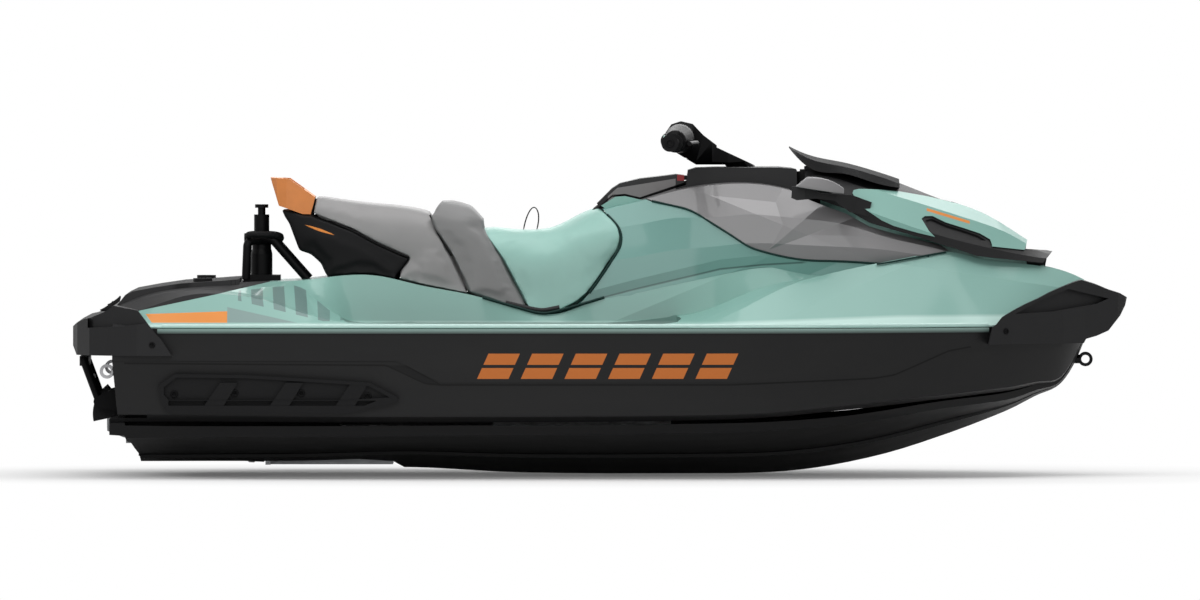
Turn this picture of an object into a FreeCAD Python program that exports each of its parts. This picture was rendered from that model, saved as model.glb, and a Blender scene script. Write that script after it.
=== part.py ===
"""Personal watercraft, two-up tow-sports type, at real size.

Frame: +X forward to the bow, +Y to port, +Z up, in millimetres. The origin is
on the centreline at rest waterline height, midway between bow tip and stern.
Heights and stations of the side profile are given as real sizes along X.
"""

import FreeCAD
import Part
import math
import os

from FreeCAD import Vector

# Driving dimensions

BOW_TIP_X = 1659.0
STERN_X = -1656.0
TRANSOM_X = -1540.0
STEM_TOP_X = 1523.0
BOND_Z = 200.0
HULL_WALL = 10.0
DECK_REAR_X = -1526.0

FLOOR_Z = 20.0
TUB_WALL = 8.0

PUMP_X = -1190.0
PUMP_Z = -78.0
PUMP_BORE = 80.0
PUMP_WALL = 12.0

FIT = 0.3
RUN = 0.05
MOVE_GAP = 6.0
BEARING_GAP = 0.5

LID_PIVOT_X = 276.0
LID_PIVOT_Z = 664.0
LID_BARREL_R = 8.0
LID_PIN_R = 4.0

HOOD_PIVOT_X = 1391.0
HOOD_PIVOT_Z = 384.0
HOOD_PIN_R = 5.0

COLUMN_X = 440.0
COLUMN_Z = 700.0
COLUMN_TILT = 30.0
STEM_R = 40.0
COLUMN_DOWN = 90.0
COLUMN_UP = 45.0
BAR_X = 240.0
BAR_Z = 776.0
BAR_R = 11.0
BAR_HALF = 366.0
GRIP_R = 17.0

BLADES = 4
NOZZLE_X = -1484.0
NOZZLE_END_X = -1557.0
NOZZLE_PIN_R = 5.0
GATE_PIN_R = 8.0

EYE_R = 13.0
EYE_THICK = 14.0
ANCHOR_R = 17.0
ANCHOR_WALL = 13.0
ANCHOR_X = -1250.0
ANCHOR_Y = 300.0
ANCHOR_LOW_Z = 306.0
ANCHOR_HIGH_Z = 352.0

MAST_X = -1070.0
MAST_R = 24.0
MAST_GAP = 0.5
GUIDE_R = 34.0
MAST_FOOT_Z = 262.0
WELL_END_Z = 96.0
TOW_PIN_R = 12.0

LADDER_PIVOT_X = -1578.0
LADDER_PIVOT_Z = -38.0
LADDER_HALF = 176.0
LADDER_PIN_R = 7.0


# Curves along the length


def through(*knots):
    """A smooth value along X through hand-set knots, with no overshoot."""
    xs = [float(k[0]) for k in knots]
    vs = [float(k[1]) for k in knots]
    n = len(xs)
    rise = [(vs[i + 1] - vs[i]) / (xs[i + 1] - xs[i]) for i in range(n - 1)]
    slope = [rise[0]] + [0.0] * (n - 2) + [rise[-1]]
    for i in range(1, n - 1):
        if rise[i - 1] * rise[i] > 0:
            slope[i] = 2 * rise[i - 1] * rise[i] / (rise[i - 1] + rise[i])

    def value(x):
        if x <= xs[0]:
            return vs[0]
        if x >= xs[-1]:
            return vs[-1]
        i = max(j for j in range(n - 1) if xs[j] <= x)
        h = xs[i + 1] - xs[i]
        t = (x - xs[i]) / h
        a = (1 + 2 * t) * (1 - t) ** 2 * vs[i] + t * (1 - t) ** 2 * h * slope[i]
        b = t * t * (3 - 2 * t) * vs[i + 1] + t * t * (t - 1) * h * slope[i + 1]
        return a + b

    return value


keel_z = through((-1530, -262), (-1000, -262), (-600, -249), (-309, -264), (0, -269), (470, -268), (688, -249), (899, -205),
                 (1070, -151), (1271, -74), (1401, -10), (1454, 18), (1495, 82), (1523, 147))
low_chine_z = through((-1530, -146), (-600, -138), (0, -134), (470, -126), (817, -100), (1060, -60),
                      (1271, -34), (1401, 5), (1454, 27), (1495, 95), (1523, 158))
low_chine_y = through((-1530, 492), (-600, 502), (0, 500), (300, 484), (600, 430), (800, 368), (1000, 285),
                      (1150, 212), (1271, 150), (1380, 90), (1454, 48), (1495, 30), (1523, 22))
chine_z = through((-1530, -69), (-600, -78), (0, -76), (470, -69), (656, -54), (1060, -15), (1271, 8),
                  (1401, 28), (1454, 42), (1495, 108), (1523, 168))
chine_y = through((-1530, 552), (-1300, 564), (-600, 578), (0, 580), (300, 570), (600, 528), (800, 474),
                  (1000, 400), (1150, 330), (1271, 262), (1380, 184), (1454, 116), (1495, 78), (1523, 55))
beam_y = through((-1530, 582), (-1300, 598), (-600, 610), (0, 612), (300, 604), (600, 572), (800, 526),
                 (1000, 458), (1150, 390), (1271, 322), (1380, 246), (1454, 186), (1495, 148), (1523, 118))


# Shape helpers


def face_of(points):
    return Part.Face(Part.makePolygon(points + [points[0]]))


def loft(rings):
    """A solid through cross-section rings: smooth along X, with a crisp edge at each ring point."""
    xs = [r[0].x for r in rings]
    rails = []
    for k in range(len(rings[0])):
        curve = Part.BSplineCurve()
        curve.interpolate(Points=[r[k] for r in rings], Parameters=xs)
        rails.append(curve.toShape())
    faces = [Part.makeRuledSurface(rails[k - 1], rails[k]) for k in range(len(rails))]
    faces += [face_of(list(rings[0])), face_of(list(rings[-1]))]
    shell = Part.makeShell(faces)
    shell.sewShape()
    solid = Part.Solid(shell)
    if solid.Volume < 0:
        solid = Part.Solid(shell.reversed())
    return solid


def mirrored(shape):
    return shape.mirror(Vector(0, 0, 0), Vector(0, 1, 0))


def prism_y(outline, y0, y1):
    """Side-view outline of (x, z) points, run from y0 to y1."""
    return face_of([Vector(x, y0, z) for x, z in outline]).extrude(Vector(0, y1 - y0, 0))


def prism_z(outline, z0, z1):
    """Plan-view outline of (x, y) points, run from z0 to z1."""
    return face_of([Vector(x, y, z0) for x, y in outline]).extrude(Vector(0, 0, z1 - z0))


def prism_x(outline, x0, x1):
    """Cross-section outline of (y, z) points, run from x0 to x1."""
    return face_of([Vector(x0, y, z) for y, z in outline]).extrude(Vector(x1 - x0, 0, 0))


def box(x0, x1, y0, y1, z0, z1):
    return Part.makeBox(x1 - x0, y1 - y0, z1 - z0, Vector(x0, y0, z0))


def rod(a, b, radius):
    a, b = Vector(*a), Vector(*b)
    return Part.makeCylinder(radius, (b - a).Length, a, b - a)


def cone(a, b, r0, r1):
    a, b = Vector(*a), Vector(*b)
    return Part.makeCone(r0, r1, (b - a).Length, a, b - a)


def joined(shapes):
    out = shapes[0]
    for s in shapes[1:]:
        out = out.fuse(s)
    return out.removeSplitter()


def bent_tube(points, radius, bend):
    """A round bar along straight runs with tangent arcs of one bend radius."""
    pts = [Vector(*p) for p in points]
    edges, start = [], pts[0]
    for i in range(1, len(pts) - 1):
        u = (pts[i] - pts[i - 1]).normalize()
        v = (pts[i + 1] - pts[i]).normalize()
        turn = u.getAngle(v)
        cut = bend * math.tan(turn / 2)
        a, b = pts[i] - u * cut, pts[i] + v * cut
        mid_dir = (v - u).normalize()
        mid = pts[i] + mid_dir * (cut / math.sin(turn / 2) * (1 - math.cos(turn / 2)) / math.cos(turn / 2)
                                  * math.cos(turn / 2))
        centre = pts[i] + mid_dir * (bend / math.cos(turn / 2))
        mid = centre - mid_dir * bend
        edges.append(Part.LineSegment(start, a).toShape())
        edges.append(Part.Arc(a, mid, b).toShape())
        start = b
    edges.append(Part.LineSegment(start, pts[-1]).toShape())
    path = Part.Wire(edges)
    ring = Part.Wire(Part.Circle(pts[0], pts[1] - pts[0], radius).toShape())
    return path.makePipeShell([ring], True, True)


def ringed(half):
    """A closed ring from a half section, low to high, at port and mirrored."""
    x = half[0][0]
    port = [Vector(x, y, z) for x, y, z in half]
    starboard = [Vector(x, -y, z) for x, y, z in reversed(half) if y > 1e-6]
    return port + starboard


TILT = math.radians(COLUMN_TILT)
COLUMN_FOOT = (COLUMN_X + COLUMN_DOWN * math.sin(TILT), 0, COLUMN_Z - COLUMN_DOWN * math.cos(TILT))
COLUMN_HEAD = (COLUMN_X - COLUMN_UP * math.sin(TILT), 0, COLUMN_Z + COLUMN_UP * math.cos(TILT))


def biggest(shape):
    """The main solid of a cut, with no slivers."""
    return max(shape.Solids, key=lambda s: s.Volume)


parts = {}


def keep(name, shape):
    parts[name] = shape


# Hull



def graded(x0, x1, count, power):
    """Stations from x0 to x1, gradually closer together towards x1."""
    return [x1 - (x1 - x0) * (1 - i / count) ** power for i in range(count + 1)]


HULL_STATIONS = graded(TRANSOM_X, STEM_TOP_X, 24, 1.5)
STRAKE_SHARE = 0.4
STRAKE_FLAT = 26.0
STRAKE_STEP = 11.0
BILGE_SHARE = 0.62


def hull_half(x, wall=0.0):
    """Half section from keel to bond line: V panel, strake, low chine, bilge, chine, topside."""
    zk, zb, zc = keel_z(x), low_chine_z(x), chine_z(x)
    yb, yc, yg = low_chine_y(x), chine_y(x), beam_y(x)
    s = min(1.0, (zb - zk) / 90.0)
    ys = STRAKE_SHARE * yb
    zs = zk + (zb - zk) * ys / yb
    zm = zb + (zc - zb) * BILGE_SHARE
    return [(x, 0, zk), (x, ys, zs), (x, ys + STRAKE_FLAT * s, zs + s),
            (x, ys + (STRAKE_FLAT + 1) * s, zs + STRAKE_STEP * s),
            (x, yb, zb), (x, yb + 9 * s, zm), (x, yc, zc), (x, yg, BOND_Z)]


def hull_inner_half(x):
    zk, zb, zc = keel_z(x), low_chine_z(x), chine_z(x)
    yb, yc, yg = low_chine_y(x), chine_y(x), beam_y(x)
    w = HULL_WALL
    return [(x, 0, zk + 1.6 * w), (x, yb - w, zb + 1.8 * w), (x, yc - 1.6 * w, zc + w), (x, yg - 1.6 * w, BOND_Z + 1)]


def topside_y(x, z):
    """Half breadth of the hull side at height z."""
    zc, yc, yg = chine_z(x), chine_y(x), beam_y(x)
    return yc + (yg - yc) * (z - zc) / (BOND_Z - zc)


def side_slab(stations, z0, z1, t0, t1):
    """A slab on the port topside from height z0 to z1, between two distances off the hull side."""
    rings = []
    for x in stations:
        low, high = topside_y(x, z0), topside_y(x, z1)
        rings.append([Vector(x, low + t0, z0), Vector(x, low + t1, z0), Vector(x, high + t1, z1),
                      Vector(x, high + t0, z1)])
    return loft(rings)


SIDE_STEP = [(-1600, 98), (-640, 98), (-500, 30), (455, 30), (757, 36), (890, 46), (960, 68), (1020, 100),
             (1080, 124), (1200, 134), (1600, 134), (1600, 300), (-1600, 300)]
STERN_CUT = [(-1700, 300), (-1528, 300), (-1528, 95), (-1512, -69), (-1512, -71), (-1512, -80), (-1528, -83),
             (-1539, -86), (-1539, -136), (-1491, -139), (-1485, -158), (-1474, -160), (-1463, -182),
             (-1450, -204), (-1440, -300), (-1700, -300)]
CHINE_SLOT = (-1600, -1420, 430, 700, -82, -72)
BAND_PROUD = 8.0

TUNNEL_SIDE = [(-1700, 62), (-1390, 62), (-1360, 42), (-1130, 42), (-1050, 20), (-600, -262), (-590, -400),
               (-1700, -400)]
TUNNEL_PLAN = [(-1700, 150), (-760, 150), (-640, 92), (-602, 40), (-596, 0)]
TUNNEL_WALL = 10.0
SHAFT_R = 14.0
SHAFT_CLEAR = 6.0


def both_sides(outline):
    """Plan outline given for the port half, closed over to starboard."""
    return outline + [(x, -y) for x, y in reversed(outline) if y > 1e-6]


def make_hull():
    """The hull shell with its stepped topside band, and the water tunnel as its own moulding."""
    outer = loft([ringed(hull_half(x)) for x in HULL_STATIONS])
    inner = loft([ringed(hull_inner_half(x)) for x in graded(-1490, 1380, 14, 1.3)])
    slab = side_slab(HULL_STATIONS[:-2], -10, BOND_Z, -30, BAND_PROUD)
    band = slab.common(prism_y(SIDE_STEP, 0, 800))
    roof = [(x, z + TUNNEL_WALL) for x, z in TUNNEL_SIDE]
    wide_plan = [(x + TUNNEL_WALL, y + TUNNEL_WALL if y else 0) for x, y in TUNNEL_PLAN]
    duct = prism_y(roof, -300, 300).common(prism_z(both_sides(wide_plan), -500, 500))
    bore = prism_y(TUNNEL_SIDE, -300, 300).common(prism_z(both_sides(TUNNEL_PLAN), -500, 500))
    stern = prism_y(STERN_CUT, -800, 800)
    notch = box(*CHINE_SLOT)
    shell = outer.fuse(band).fuse(mirrored(band)).cut(inner)
    shell = shell.cut(duct).cut(stern).cut(notch).cut(mirrored(notch))
    tunnel = duct.common(outer).cut(bore).cut(stern)
    tunnel = tunnel.cut(rod((-1250, 0, PUMP_Z), (-400, 0, PUMP_Z), SHAFT_R + SHAFT_CLEAR))
    return biggest(shell), biggest(tunnel), outer


hull, tunnel, hull_outer = make_hull()
keep("hull", hull)
keep("pump_tunnel", tunnel)

# Deck

crest_z = through((-1530, 236), (-1448, 255), (-1249, 307), (-1139, 303), (-823, 221), (-700, 214), (281, 212),
                  (628, 345), (900, 405), (1117, 436), (1183, 413), (1258, 402), (1372, 389), (1448, 374), (1523, 343))
crest_y = through((-1530, 530), (-1249, 545), (-1139, 545), (-823, 575), (0, 588), (281, 575), (628, 430), (900, 325),
                  (1117, 225), (1258, 165), (1372, 118), (1448, 78), (1523, 34))
inner_y = through((-1530, 440), (-1139, 455), (-900, 520), (-823, 530), (0, 540), (281, 520), (628, 395), (900, 300),
                  (1117, 205), (1258, 145), (1372, 98), (1448, 62), (1523, 26))
inner_z = through((-1530, 250), (-1448, 285), (-1315, 316), (-1139, 312), (-900, 240), (-823, 219), (-700, 212),
                  (281, 210), (628, 335), (900, 390), (1117, 405), (1183, 395), (1258, 385), (1372, 374),
                  (1448, 362), (1523, 336))
foot_y = through((-1530, 400), (-1139, 380), (-950, 330), (-823, 260), (-600, 250), (-73, 250), (312, 285), (533, 330),
                 (900, 250), (1117, 160), (1258, 110), (1372, 70), (1448, 40), (1523, 18))
foot_z = through((-1530, 256), (-1448, 296), (-1315, 322), (-1139, 330), (-900, 300), (-823, 230), (-700, 212),
                 (0, 212), (281, 240), (533, 330), (900, 385), (1117, 398), (1258, 380), (1372, 371), (1448, 360),
                 (1523, 334))
seat_rim_y = through((-1530, 300), (-1139, 290), (-823, 226), (-600, 228), (-73, 232), (312, 262), (533, 290), (900, 220),
                     (1117, 140), (1258, 90), (1372, 50), (1448, 28), (1523, 12))
seat_rim_z = through((-1530, 260), (-1448, 298), (-1315, 322), (-1164, 334), (-855, 350), (-785, 362), (-710, 359),
                     (-634, 341), (-483, 313), (-331, 278), (-177, 236), (-129, 240), (-73, 266), (60, 293),
                     (312, 347), (533, 385), (900, 380), (1117, 390), (1258, 376), (1372, 368), (1448, 358),
                     (1523, 333))
DECK_STATIONS = graded(DECK_REAR_X, STEM_TOP_X, 30, 1.2)
WELL_PLAN = [(-820, 262), (-790, 520), (-700, 527), (60, 530), (190, 508), (240, 440), (252, 350), (238, 274),
             (-73, 250), (-600, 250)]
BAY_PLAN = [(-770, 196), (-600, 205), (90, 205), (110, 180)]
BIN_X0, BIN_X1, BIN_HALF, BIN_FLOOR_Z = 720.0, 1080.0, 150.0, 60.0


def deck_half(x):
    y0 = beam_y(x) + BAND_PROUD
    return [(x, y0, BOND_Z), (x, y0 + 3, BOND_Z + 5), (x, crest_y(x), crest_z(x)), (x, inner_y(x), inner_z(x)),
            (x, foot_y(x), foot_z(x)), (x, seat_rim_y(x), seat_rim_z(x)), (x, 0, seat_rim_z(x))]


def deck_ring(x):
    half = deck_half(x)
    port = [Vector(*p) for p in half]
    starboard = [Vector(p[0], -p[1], p[2]) for p in reversed(half) if p[1] > 1e-6]
    return port + starboard


def grown(outline, by, centre):
    """An outline moved out from its centre by about one distance on each side."""
    cx, cy = centre
    return [(x + math.copysign(by, x - cx), y + math.copysign(by, y - cy)) for x, y in outline]


def make_deck():
    solid = loft([deck_ring(x) for x in DECK_STATIONS])
    well = prism_z(WELL_PLAN, FLOOR_Z - 50, 700)
    bay = prism_z(both_sides(BAY_PLAN), 150, 700)
    bin_cut = box(BIN_X0 - FIT, BIN_X1 + FIT, -BIN_HALF - FIT, BIN_HALF + FIT, 150, 700)
    mast_cut = rod((MAST_X, 0, 0), (MAST_X, 0, 600), GUIDE_R + FIT)
    out = solid.cut(well).cut(mirrored(well)).cut(bay).cut(bin_cut).cut(mast_cut)
    for y in (ANCHOR_Y, -ANCHOR_Y):
        out = out.cut(rod((ANCHOR_X, y, ANCHOR_LOW_Z - FIT), (ANCHOR_X, y, 400), ANCHOR_R + ANCHOR_WALL + FIT))
        out = out.cut(rod((ANCHOR_X, y, ANCHOR_LOW_Z - MOVE_GAP), (ANCHOR_X, y, 400), ANCHOR_R + FIT))
    tray = prism_z(grown(WELL_PLAN, TUB_WALL, (-240, 400)), FLOOR_Z - TUB_WALL, BOND_Z - FIT)
    tray = tray.cut(prism_z(WELL_PLAN, FLOOR_Z, BOND_Z + 50))
    return biggest(out), solid, tray


deck, deck_solid, tray = make_deck()
COAMING_PLAN = [(690, 194), (720, 211), (800, 246), (900, 248), (1000, 220), (1060, 194), (1110, 190), (1200, 185),
                (1300, 138), (1340, 114)]
COAMING_SIDE = [(690, 300), (690, 614), (770, 586), (842, 544), (918, 521), (994, 500), (1090, 468), (1183, 440),
                (1258, 430), (1340, 419), (1340, 300)]
COAMING_WALL = 6.0
COAMING_INNER = [(x, y - COAMING_WALL) for x, y in reversed(COAMING_PLAN)]
coaming = prism_z(COAMING_PLAN + COAMING_INNER, 300, 640)
coaming = coaming.common(prism_y(COAMING_SIDE, 0, 500))
coaming_room = prism_z([(x, y + FIT) for x, y in COAMING_PLAN] + [(x, y - FIT) for x, y in COAMING_INNER], 300, 640)
deck = deck.fuse(coaming.fuse(mirrored(coaming)))
for s in (-1, 1):
    deck = deck.fuse(prism_y([(HOOD_PIVOT_X - 20, 340), (HOOD_PIVOT_X - 6, HOOD_PIVOT_Z + HOOD_PIN_R),
                              (HOOD_PIVOT_X + 6, HOOD_PIVOT_Z + HOOD_PIN_R), (HOOD_PIVOT_X + 20, 340)], 62 * s, 70 * s))
    deck = deck.fuse(rod((HOOD_PIVOT_X, 47 * s, HOOD_PIVOT_Z), (HOOD_PIVOT_X, 68 * s, HOOD_PIVOT_Z), HOOD_PIN_R))
keep("deck", deck)
keep("footwells", Part.makeCompound([tray, mirrored(tray)]))

# Rails and bumpers

STRIPE_LOW_Z = 183.0
STRIPE_HIGH_Z = 198.0
STRIPE_PROUD = 17.0
STERN_PLAN = [(-1340, 628), (-1450, 618), (-1540, 588), (-1600, 535), (-1640, 450), (-1656, 350), (-1656, 0)]
STERN_SIDE = [(-1656, 202), (-1656, 142), (-1643, 114), (-1340, 114), (-1375, 167), (-1391, 183), (-1416, 214),
              (-1448, 256), (-1523, 270), (-1549, 252), (-1596, 232), (-1618, 227), (-1643, 214)]
BOW_PLAN = [(1214, 393), (1290, 338), (1380, 268), (1454, 206), (1523, 142), (1580, 92), (1630, 48), (1653, 20),
            (1659, 0)]
BOW_SIDE = [(1511, 344), (1561, 328), (1599, 312), (1637, 300), (1659, 287), (1653, 262), (1637, 230), (1599, 183),
            (1561, 167), (1527, 158), (1520, 145), (1214, 145), (1227, 199), (1240, 208), (1258, 230), (1296, 252),
            (1334, 271), (1372, 287), (1410, 306), (1448, 322), (1486, 337)]


def make_rub_rail():
    stations = [x for x in HULL_STATIONS if -1380 < x < 1200]
    stations = [-1386] + stations + [1217]
    rail = side_slab(stations, STRIPE_LOW_Z, STRIPE_HIGH_Z, BAND_PROUD + FIT, STRIPE_PROUD)
    return biggest(rail.cut(hull))


rub_rail = make_rub_rail()
keep("rub_rails", Part.makeCompound([rub_rail, mirrored(rub_rail)]))
BUMPER_RECESS = 12.0
STERN_RECESS = [(-1606, 200), (-1606, 300), (-1440, 300), (-1412, 216), (-1500, 206)]
BOW_RECESS = [(1300, 240), (1390, 286), (1470, 316), (1600, 284), (1560, 268), (1420, 246)]


def recess(plan, outline):
    """A shallow field cut into the outer face of a bumper."""
    middle = (plan[0][0] + plan[-1][0]) / 2
    inner = [(x - math.copysign(BUMPER_RECESS, middle), max(0, y - BUMPER_RECESS)) for x, y in plan]
    skin = prism_z(both_sides(plan), 0, 500).cut(prism_z(both_sides(inner), -1, 501))
    return skin.common(prism_y(outline, -800, 800))


stern_bumper = prism_z(both_sides(STERN_PLAN), 0, 500).common(prism_y(STERN_SIDE, -800, 800))
stern_bumper = stern_bumper.cut(recess(STERN_PLAN, STERN_RECESS))
stern_bumper = stern_bumper.cut(hull_outer).cut(hull).cut(deck_solid)
keep("stern_bumper", biggest(stern_bumper))
bow_bumper = prism_z(both_sides(BOW_PLAN), 0, 500).common(prism_y(BOW_SIDE, -800, 800))
bow_bumper = bow_bumper.cut(recess(BOW_PLAN, BOW_RECESS))
bow_bumper = bow_bumper.cut(hull_outer).cut(hull).cut(deck_solid)
keep("bow_bumper", biggest(bow_bumper))

# Body above the deck

BODY_TABLE = [
    (-90, 250, 234, 208, 380, 152, 470, 108, 515, 530),
    (0, 266, 237, 214, 400, 160, 500, 112, 560, 580),
    (126, 292, 246, 224, 420, 176, 520, 122, 592, 612),
    (237, 314, 254, 240, 440, 208, 540, 152, 622, 640),
    (350, 330, 266, 258, 450, 240, 540, 182, 640, 662),
    (450, 336, 278, 276, 460, 260, 550, 202, 645, 664),
    (550, 336, 292, 292, 460, 278, 545, 216, 635, 652),
    (650, 338, 304, 304, 455, 288, 535, 228, 610, 630),
    (760, 346, 308, 306, 450, 290, 520, 240, 580, 600),
    (900, 362, 300, 298, 440, 280, 478, 240, 505, 515),
    (1000, 376, 280, 278, 425, 262, 455, 225, 475, 480),
    (1095, 388, 243, 242, 415, 232, 432, 200, 440, 442),
]
PANEL = 10.0


def body_ring(row, off=0.0):
    x, zb, yb, y1, z1, y2, z2, y3, z3, zt = row
    pts = [(yb - off, zb), (y1 - off, z1), (y2 - off, z2 - 0.3 * off), (y3 - off, z3 - 0.6 * off), (0, zt - off)]
    port = [Vector(x, y, z) for y, z in pts]
    starboard = [Vector(x, -y, z) for y, z in reversed(pts[:-1])]
    return port + starboard


def body_skin(off=0.0):
    return loft([body_ring(r, off) for r in BODY_TABLE])


FAIRING_SIDE = [(126, 608), (237, 637), (274, 647), (312, 656), (350, 662), (426, 665), (501, 659), (539, 653),
                (577, 640), (612, 616), (640, 603), (700, 579), (770, 554), (842, 514), (918, 492), (994, 473), (1069, 454), (1091, 438),
                (1031, 421), (956, 404), (918, 397), (754, 408), (653, 408), (577, 419), (501, 438), (464, 451),
                (426, 476), (388, 501), (350, 524), (312, 549), (274, 568), (237, 577), (161, 593)]
SIDE_PANEL = [(-73, 262), (60, 270), (312, 300), (533, 325), (760, 340), (900, 365), (1012, 396), (1031, 418),
              (956, 401), (918, 394), (754, 405), (653, 405), (577, 416),
              (501, 435), (464, 448), (426, 473), (388, 498), (350, 521), (312, 546), (274, 565), (237, 574),
              (161, 590), (126, 603), (76, 613), (35, 610), (-5, 577), (20.6, 549), (52.6, 517), (64.6, 483),
              (58.6, 442), (33.6, 404), (-4.4, 347), (-36.4, 303)]
SEAT_FRONT_SIDE = [(-15, 640), (-13, 576), (20, 549), (52, 517), (64, 483), (58, 442), (33, 404), (-5, 347),
                   (-37, 303), (-75, 270), (-129, 243), (-177, 236), (-228, 248), (-309, 408), (-378, 508),
                   (-378, 640)]


CONSOLE_PLAN = [(-8, 80), (60, 97), (237, 124), (350, 150), (450, 168), (560, 184), (616, 192)]
CONSOLE_EDGE = [(-300, 40)] + [(x, y + FIT) for x, y in CONSOLE_PLAN] + [(1200, 197)]
deck_top = deck_solid.copy()
deck_top.translate(Vector(0, 0, FIT))


def body_panel(outline, proud=0.0):
    skin = body_skin(-proud).cut(body_skin(PANEL - proud))
    panel = skin.common(prism_y(outline, 40, 500)).cut(prism_z(both_sides(CONSOLE_EDGE), 480, 800))
    return biggest(panel.cut(deck_top).cut(coaming_room))


side_panel = body_panel(SIDE_PANEL)
fairing = body_panel(FAIRING_SIDE, 4.0)
keep("body_side_left", side_panel)
keep("body_side_right", mirrored(side_panel))
keep("fairing_left", fairing)
keep("fairing_right", mirrored(fairing))

# Seat

SEAT_TABLE = [
    (-1045, 335, 150, 112, 560, 100, 600, 622),
    (-960, 335, 170, 137, 560, 122, 590, 610),
    (-850, 335, 196, 166, 540, 146, 575, 596),
    (-700, 335, 218, 186, 520, 160, 556, 578),
    (-540, 300, 226, 188, 500, 158, 536, 554),
    (-400, 270, 230, 176, 470, 142, 502, 518),
    (-290, 240, 231, 164, 450, 128, 484, 501),
    (-180, 215, 232, 158, 450, 122, 484, 501),
    (-100, 225, 232, 158, 470, 118, 510, 531),
    (-30, 255, 234, 162, 500, 112, 550, 571),
    (70, 285, 240, 170, 540, 110, 590, 622),
]
BOLSTER_RISE = 48.0
BOLSTER_WIDER = 5.0
BOLSTER_SIDE = [(-539, 551), (-520, 567), (-483, 640), (-378, 640), (-371, 508), (-310, 408), (-230, 250), (-231, 200),
                (-413, 200), (-413, 300), (-470, 420), (-520, 500)]
REAR_SIDE = [(-900, 640), (-540, 640), (-540, 553), (-521, 500), (-471, 420), (-414, 300), (-414, 200), (-640, 200),
             (-640, 356), (-597, 413), (-634, 428), (-710, 462), (-785, 503), (-861, 532), (-912, 550), (-903, 585)]
BASE_SIDE = [(-1012, 568), (-981, 524), (-962, 473), (-949, 438), (-912, 426), (-880, 397), (-871, 372), (-855, 340),
             (-641, 340), (-641, 356), (-599, 412), (-636, 426), (-711, 460), (-786, 501), (-861, 530), (-913, 548),
             (-940, 550), (-981, 565)]


def smooth_ring(x, half):
    """Section with one smooth curve over the top and a straight foot."""
    pts = [Vector(x, -y, z) for y, z in half] + [Vector(x, y, z) for y, z in reversed(half) if y > 1e-6]
    over = Part.BSplineCurve()
    over.interpolate(pts)
    return Part.Wire([over.toShape(), Part.LineSegment(pts[-1], pts[0]).toShape()])


def seat_loft(rise=0.0, wider=0.0):
    wires = []
    for x, zb, yb, y1, z1, y2, z2, zt in SEAT_TABLE:
        half = [(yb + wider, zb), (0.45 * yb + 0.55 * y1 + wider, 0.5 * zb + 0.5 * z1),
                (y1 + wider, z1 + 0.3 * rise), (y2 + wider, z2 + rise + 0.6 * wider), (0, zt + rise + wider)]
        wires.append(smooth_ring(x, half))
    return Part.makeLoft(wires, True, False, False, 3)


seat_all = seat_loft()
wide = 400
seat_front = seat_all.common(prism_y(SEAT_FRONT_SIDE, -wide, wide)).cut(deck_top)
seat_rear = seat_all.common(prism_y(REAR_SIDE, -wide, wide)).cut(deck_top)
seat_base = seat_all.common(prism_y(BASE_SIDE, -wide, wide)).cut(deck_top)
bolster = seat_loft(BOLSTER_RISE, BOLSTER_WIDER).common(prism_y(BOLSTER_SIDE, -wide, wide)).cut(deck_top)
bolster = bolster.cut(seat_front).cut(seat_rear)
for name, shape in (("seat_front", seat_front), ("seat_rear", seat_rear), ("seat_base", seat_base),
                    ("seat_bolster", bolster)):
    keep(name, biggest(shape))

HANDLE_SIDE = [(-1041, 665), (-981, 662), (-900, 604), (-904, 586), (-914, 550), (-940, 551), (-981, 566),
               (-1014, 577), (-1028, 624)]
HANDLE_PLAN = [(-880, 128), (-990, 132), (-1020, 122), (-1036, 100), (-1041, 70), (-1041, 0)]
HANDLE_HOLE = [(-935, 92), (-985, 96), (-1000, 84), (-1004, 60), (-1004, 0)]
handle = prism_y(HANDLE_SIDE, -200, 200).common(prism_z(both_sides(HANDLE_PLAN), 500, 700))
handle = handle.cut(prism_z(both_sides(HANDLE_HOLE), 500, 700))
keep("seat_handle", biggest(handle.cut(seat_rear).cut(seat_base)))

STRAP_HALF = 15.0
STRAP_OUTER = [(-246, 490), (-233, 545), (-218, 572), (-210, 577), (-198, 562), (-193, 542), (-198, 510), (-204, 490)]
STRAP_INNER = [(-209, 490), (-202, 512), (-198, 542), (-202, 559), (-211, 571), (-214, 569), (-228, 543), (-241, 490)]
strap = prism_y(STRAP_OUTER + STRAP_INNER, -STRAP_HALF, STRAP_HALF).cut(seat_all)
keep("seat_strap", biggest(strap))

# Steering console and glove box

CONSOLE_SIDE = [(74, 440), (74, 486), (62, 522), (30, 556), (0, 577), (35, 604), (76, 607), (123, 596),
                (268, 642), (274, 688), (300, 696), (360, 698), (560, 698), (600, 694), (616, 690), (616, 420),
                (300, 420)]
CONSOLE_WALL = 8.0
console_block = prism_z(both_sides(CONSOLE_PLAN), 380, 760)
console = console_block.common(prism_y(CONSOLE_SIDE, -wide, wide))
hollow_plan = both_sides([(x - (CONSOLE_WALL if x > 600 else 0), y - CONSOLE_WALL) for x, y in CONSOLE_PLAN])
hollow_side = [(74 + CONSOLE_WALL, 300), (74 + CONSOLE_WALL, 594), (123, 588), (266, 634), (282, 680),
               (300, 686), (610, 686), (610, 300)]
console = console.cut(prism_z(hollow_plan, 300, 760).common(prism_y(hollow_side, -wide, wide)))
GLOVE_X0, GLOVE_X1, GLOVE_HALF, GLOVE_FLOOR_Z, GLOVE_WALL = 84.0, 236.0, 68.0, 450.0, 4.0
glove_out = box(GLOVE_X0, GLOVE_X1, -GLOVE_HALF, GLOVE_HALF, GLOVE_FLOOR_Z, 700)
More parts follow.
